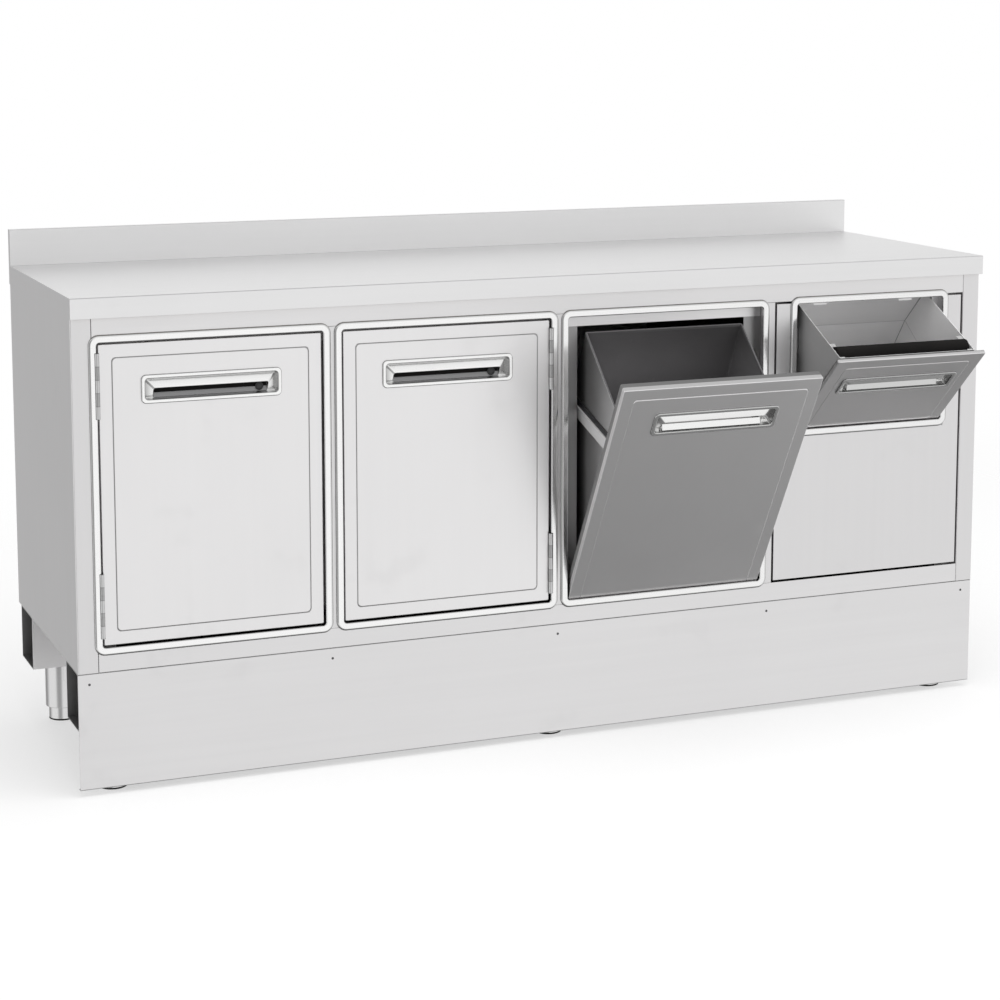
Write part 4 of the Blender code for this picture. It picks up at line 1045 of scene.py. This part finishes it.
# Solids that stay: each gets its finish, and some a softened copy
dress(core_board, "worktop_core")
dress(steel_along, "back_panel")
dress(floor_steel, "floor_panel")
dress(front_rail_steel, "front_channel")
dress(rear_rail_steel, "rear_channel")
dress(steel_up, "bin_pivot_left", "bin_pivot_right", "drawer_bracket_left", "drawer_bracket_right",
      "door_1_inner_pan", "door_2_inner_pan", "bin_inner_pan")
dress(hinge_steel, *("%s_hinge_%s_%s" % (door, half, end) for door in ("door_1", "door_2")
                     for end in ("bottom", "top") for half in ("fixed", "leaf")))
softened("blank_panel", steel_up, PANEL_LINE, opening=True)
softened("top_rail", steel_along)
softened("bottom_rail", steel_along)
for number in (1, 2, 3):
    softened("partition_%d" % number, inner_steel)


# Studio

def build_world():
    """White to the camera. For light and reflections, a pale room that is dimmer overhead, on the
    ground, in its left back corner, a little at its right, and at a doorway on the front left, which
    rounded steel shows as a dark band."""
    pale, corner_dim, right_dim, doorway_dim = 1.05, 0.69, 0.10, 0.64
    ceiling, ground = 0.50, 0.22
    world = bpy.data.worlds.new("studio")
    bpy.context.scene.world = world
    world.use_nodes = True
    room = Finish("studio", world.node_tree)
    heading = room.node("ShaderNodeTexCoord", out="Generated")
    aside, behind, above = (room.node("ShaderNodeSeparateXYZ", {}, {0: heading}, axis)
                            for axis in (ALONG_X, ALONG_Y, ALONG_Z))
    corner = room.band(aside * -1.0, -0.1, 0.5) * room.band(behind, 0.2, 0.8)
    right = room.band(aside, 0.28, 0.62)
    doorway = room.band(aside * -0.50 + behind * -0.866, 0.87, 0.95)
    wall = pale - corner * corner_dim - right * right_dim - doorway * doorway_dim
    overhead = room.band(above, 0.50, 0.92)
    below = room.band(above * -1.0, 0.45, 0.80)
    upper = wall - (wall - ceiling) * overhead
    glow = upper - (upper - ground) * below
    camera = room.node("ShaderNodeLightPath", out="Is Camera Ray")
    glass = room.node("ShaderNodeLightPath", out="Is Transmission Ray")
    back = world.node_tree.nodes["Background"]
    back.inputs["Color"].default_value = (1.0, 1.0, 1.0, 1.0)
    room.feed(back.inputs["Strength"], glow + (1.0 - glow) * camera.most(glass))


def build_floor():
    """A pale floor that is white to the camera apart from the counter's soft shadow. It fades out
    towards its edges, and steel doesn't show it."""
    wide, deep, margin = 3.4, 3.0, 0.1
    corners = [(-wide, -deep, 0), (wide, -deep, 0), (wide, deep, 0), (-wide, deep, 0)]
    mesh = bpy.data.meshes.new("studio_floor")
    mesh.from_pydata(corners, [], [(0, 1, 2, 3)])
    ground = linked("studio_floor", mesh)
    finish = Finish("studio_floor")
    seen = finish.node("ShaderNodeLightPath", out="Is Camera Ray")
    colour = finish.tint(seen, (0.40, 0.40, 0.40), (0.95, 0.95, 0.95))
    matt = finish.node("ShaderNodeBsdfDiffuse", {}, {"Color": colour})
    white = finish.node("ShaderNodeEmission", {}, {"Strength": 1.0})
    lit = finish.node("ShaderNodeMixShader", {}, {0: seen * 0.55, 1: matt, 2: white})
    through = finish.node("ShaderNodeBsdfTransparent")
    glossy = finish.node("ShaderNodeLightPath", out="Is Glossy Ray")
    across, along = abs(finish.axis(ALONG_X)), abs(finish.axis(ALONG_Y))
    rim = finish.band(across, 1.3, wide - margin).most(finish.band(along, 0.9, deep - margin))
    mixed = finish.node("ShaderNodeMixShader", {}, {0: glossy.most(rim), 1: lit, 2: through})
    finish.tree.links.new(mixed.socket, finish.tree.nodes["Material Output"].inputs["Surface"])
    mesh.materials.append(finish.material)


def build_lamp():
    """A soft rectangular lamp that faces the counter from above. Steel shows the room and not it."""
    place, aim = Vector((0.3, -1.2, 4.2)), Vector((0.0, -0.1, 0.5))
    light = bpy.data.lights.new("overhead_softbox", "AREA")
    light.shape = "RECTANGLE"
    light.size, light.size_y = 4.5, 3.5
    light.energy = 120
    holder = linked("overhead_softbox", light)
    holder.location = place
    holder.rotation_euler = (place - aim).to_track_quat("Z", "Y").to_euler()
    holder.visible_glossy = False


def build_camera():
    """The photograph's viewing angle: a long lens a little above the worktop, shifted down."""
    focal_length, sensor, shift = 84.5861, 36.0, -0.180
    place, pitch, heading = (-1.8927, -4.5025, 1.5170), 7.6981, 22.1176
    lens = bpy.data.cameras.new("viewpoint")
    lens.sensor_width = sensor
    lens.lens = focal_length
    lens.shift_y = shift
    lens.clip_end = 60.0
    holder = linked("viewpoint", lens)
    holder.location = place
    holder.rotation_euler = (radians(90 - pitch), 0, radians(-heading))
    bpy.context.scene.camera = holder


build_world()
build_floor()
build_lamp()
build_camera()
bpy.context.scene.view_settings.view_transform = "Standard"
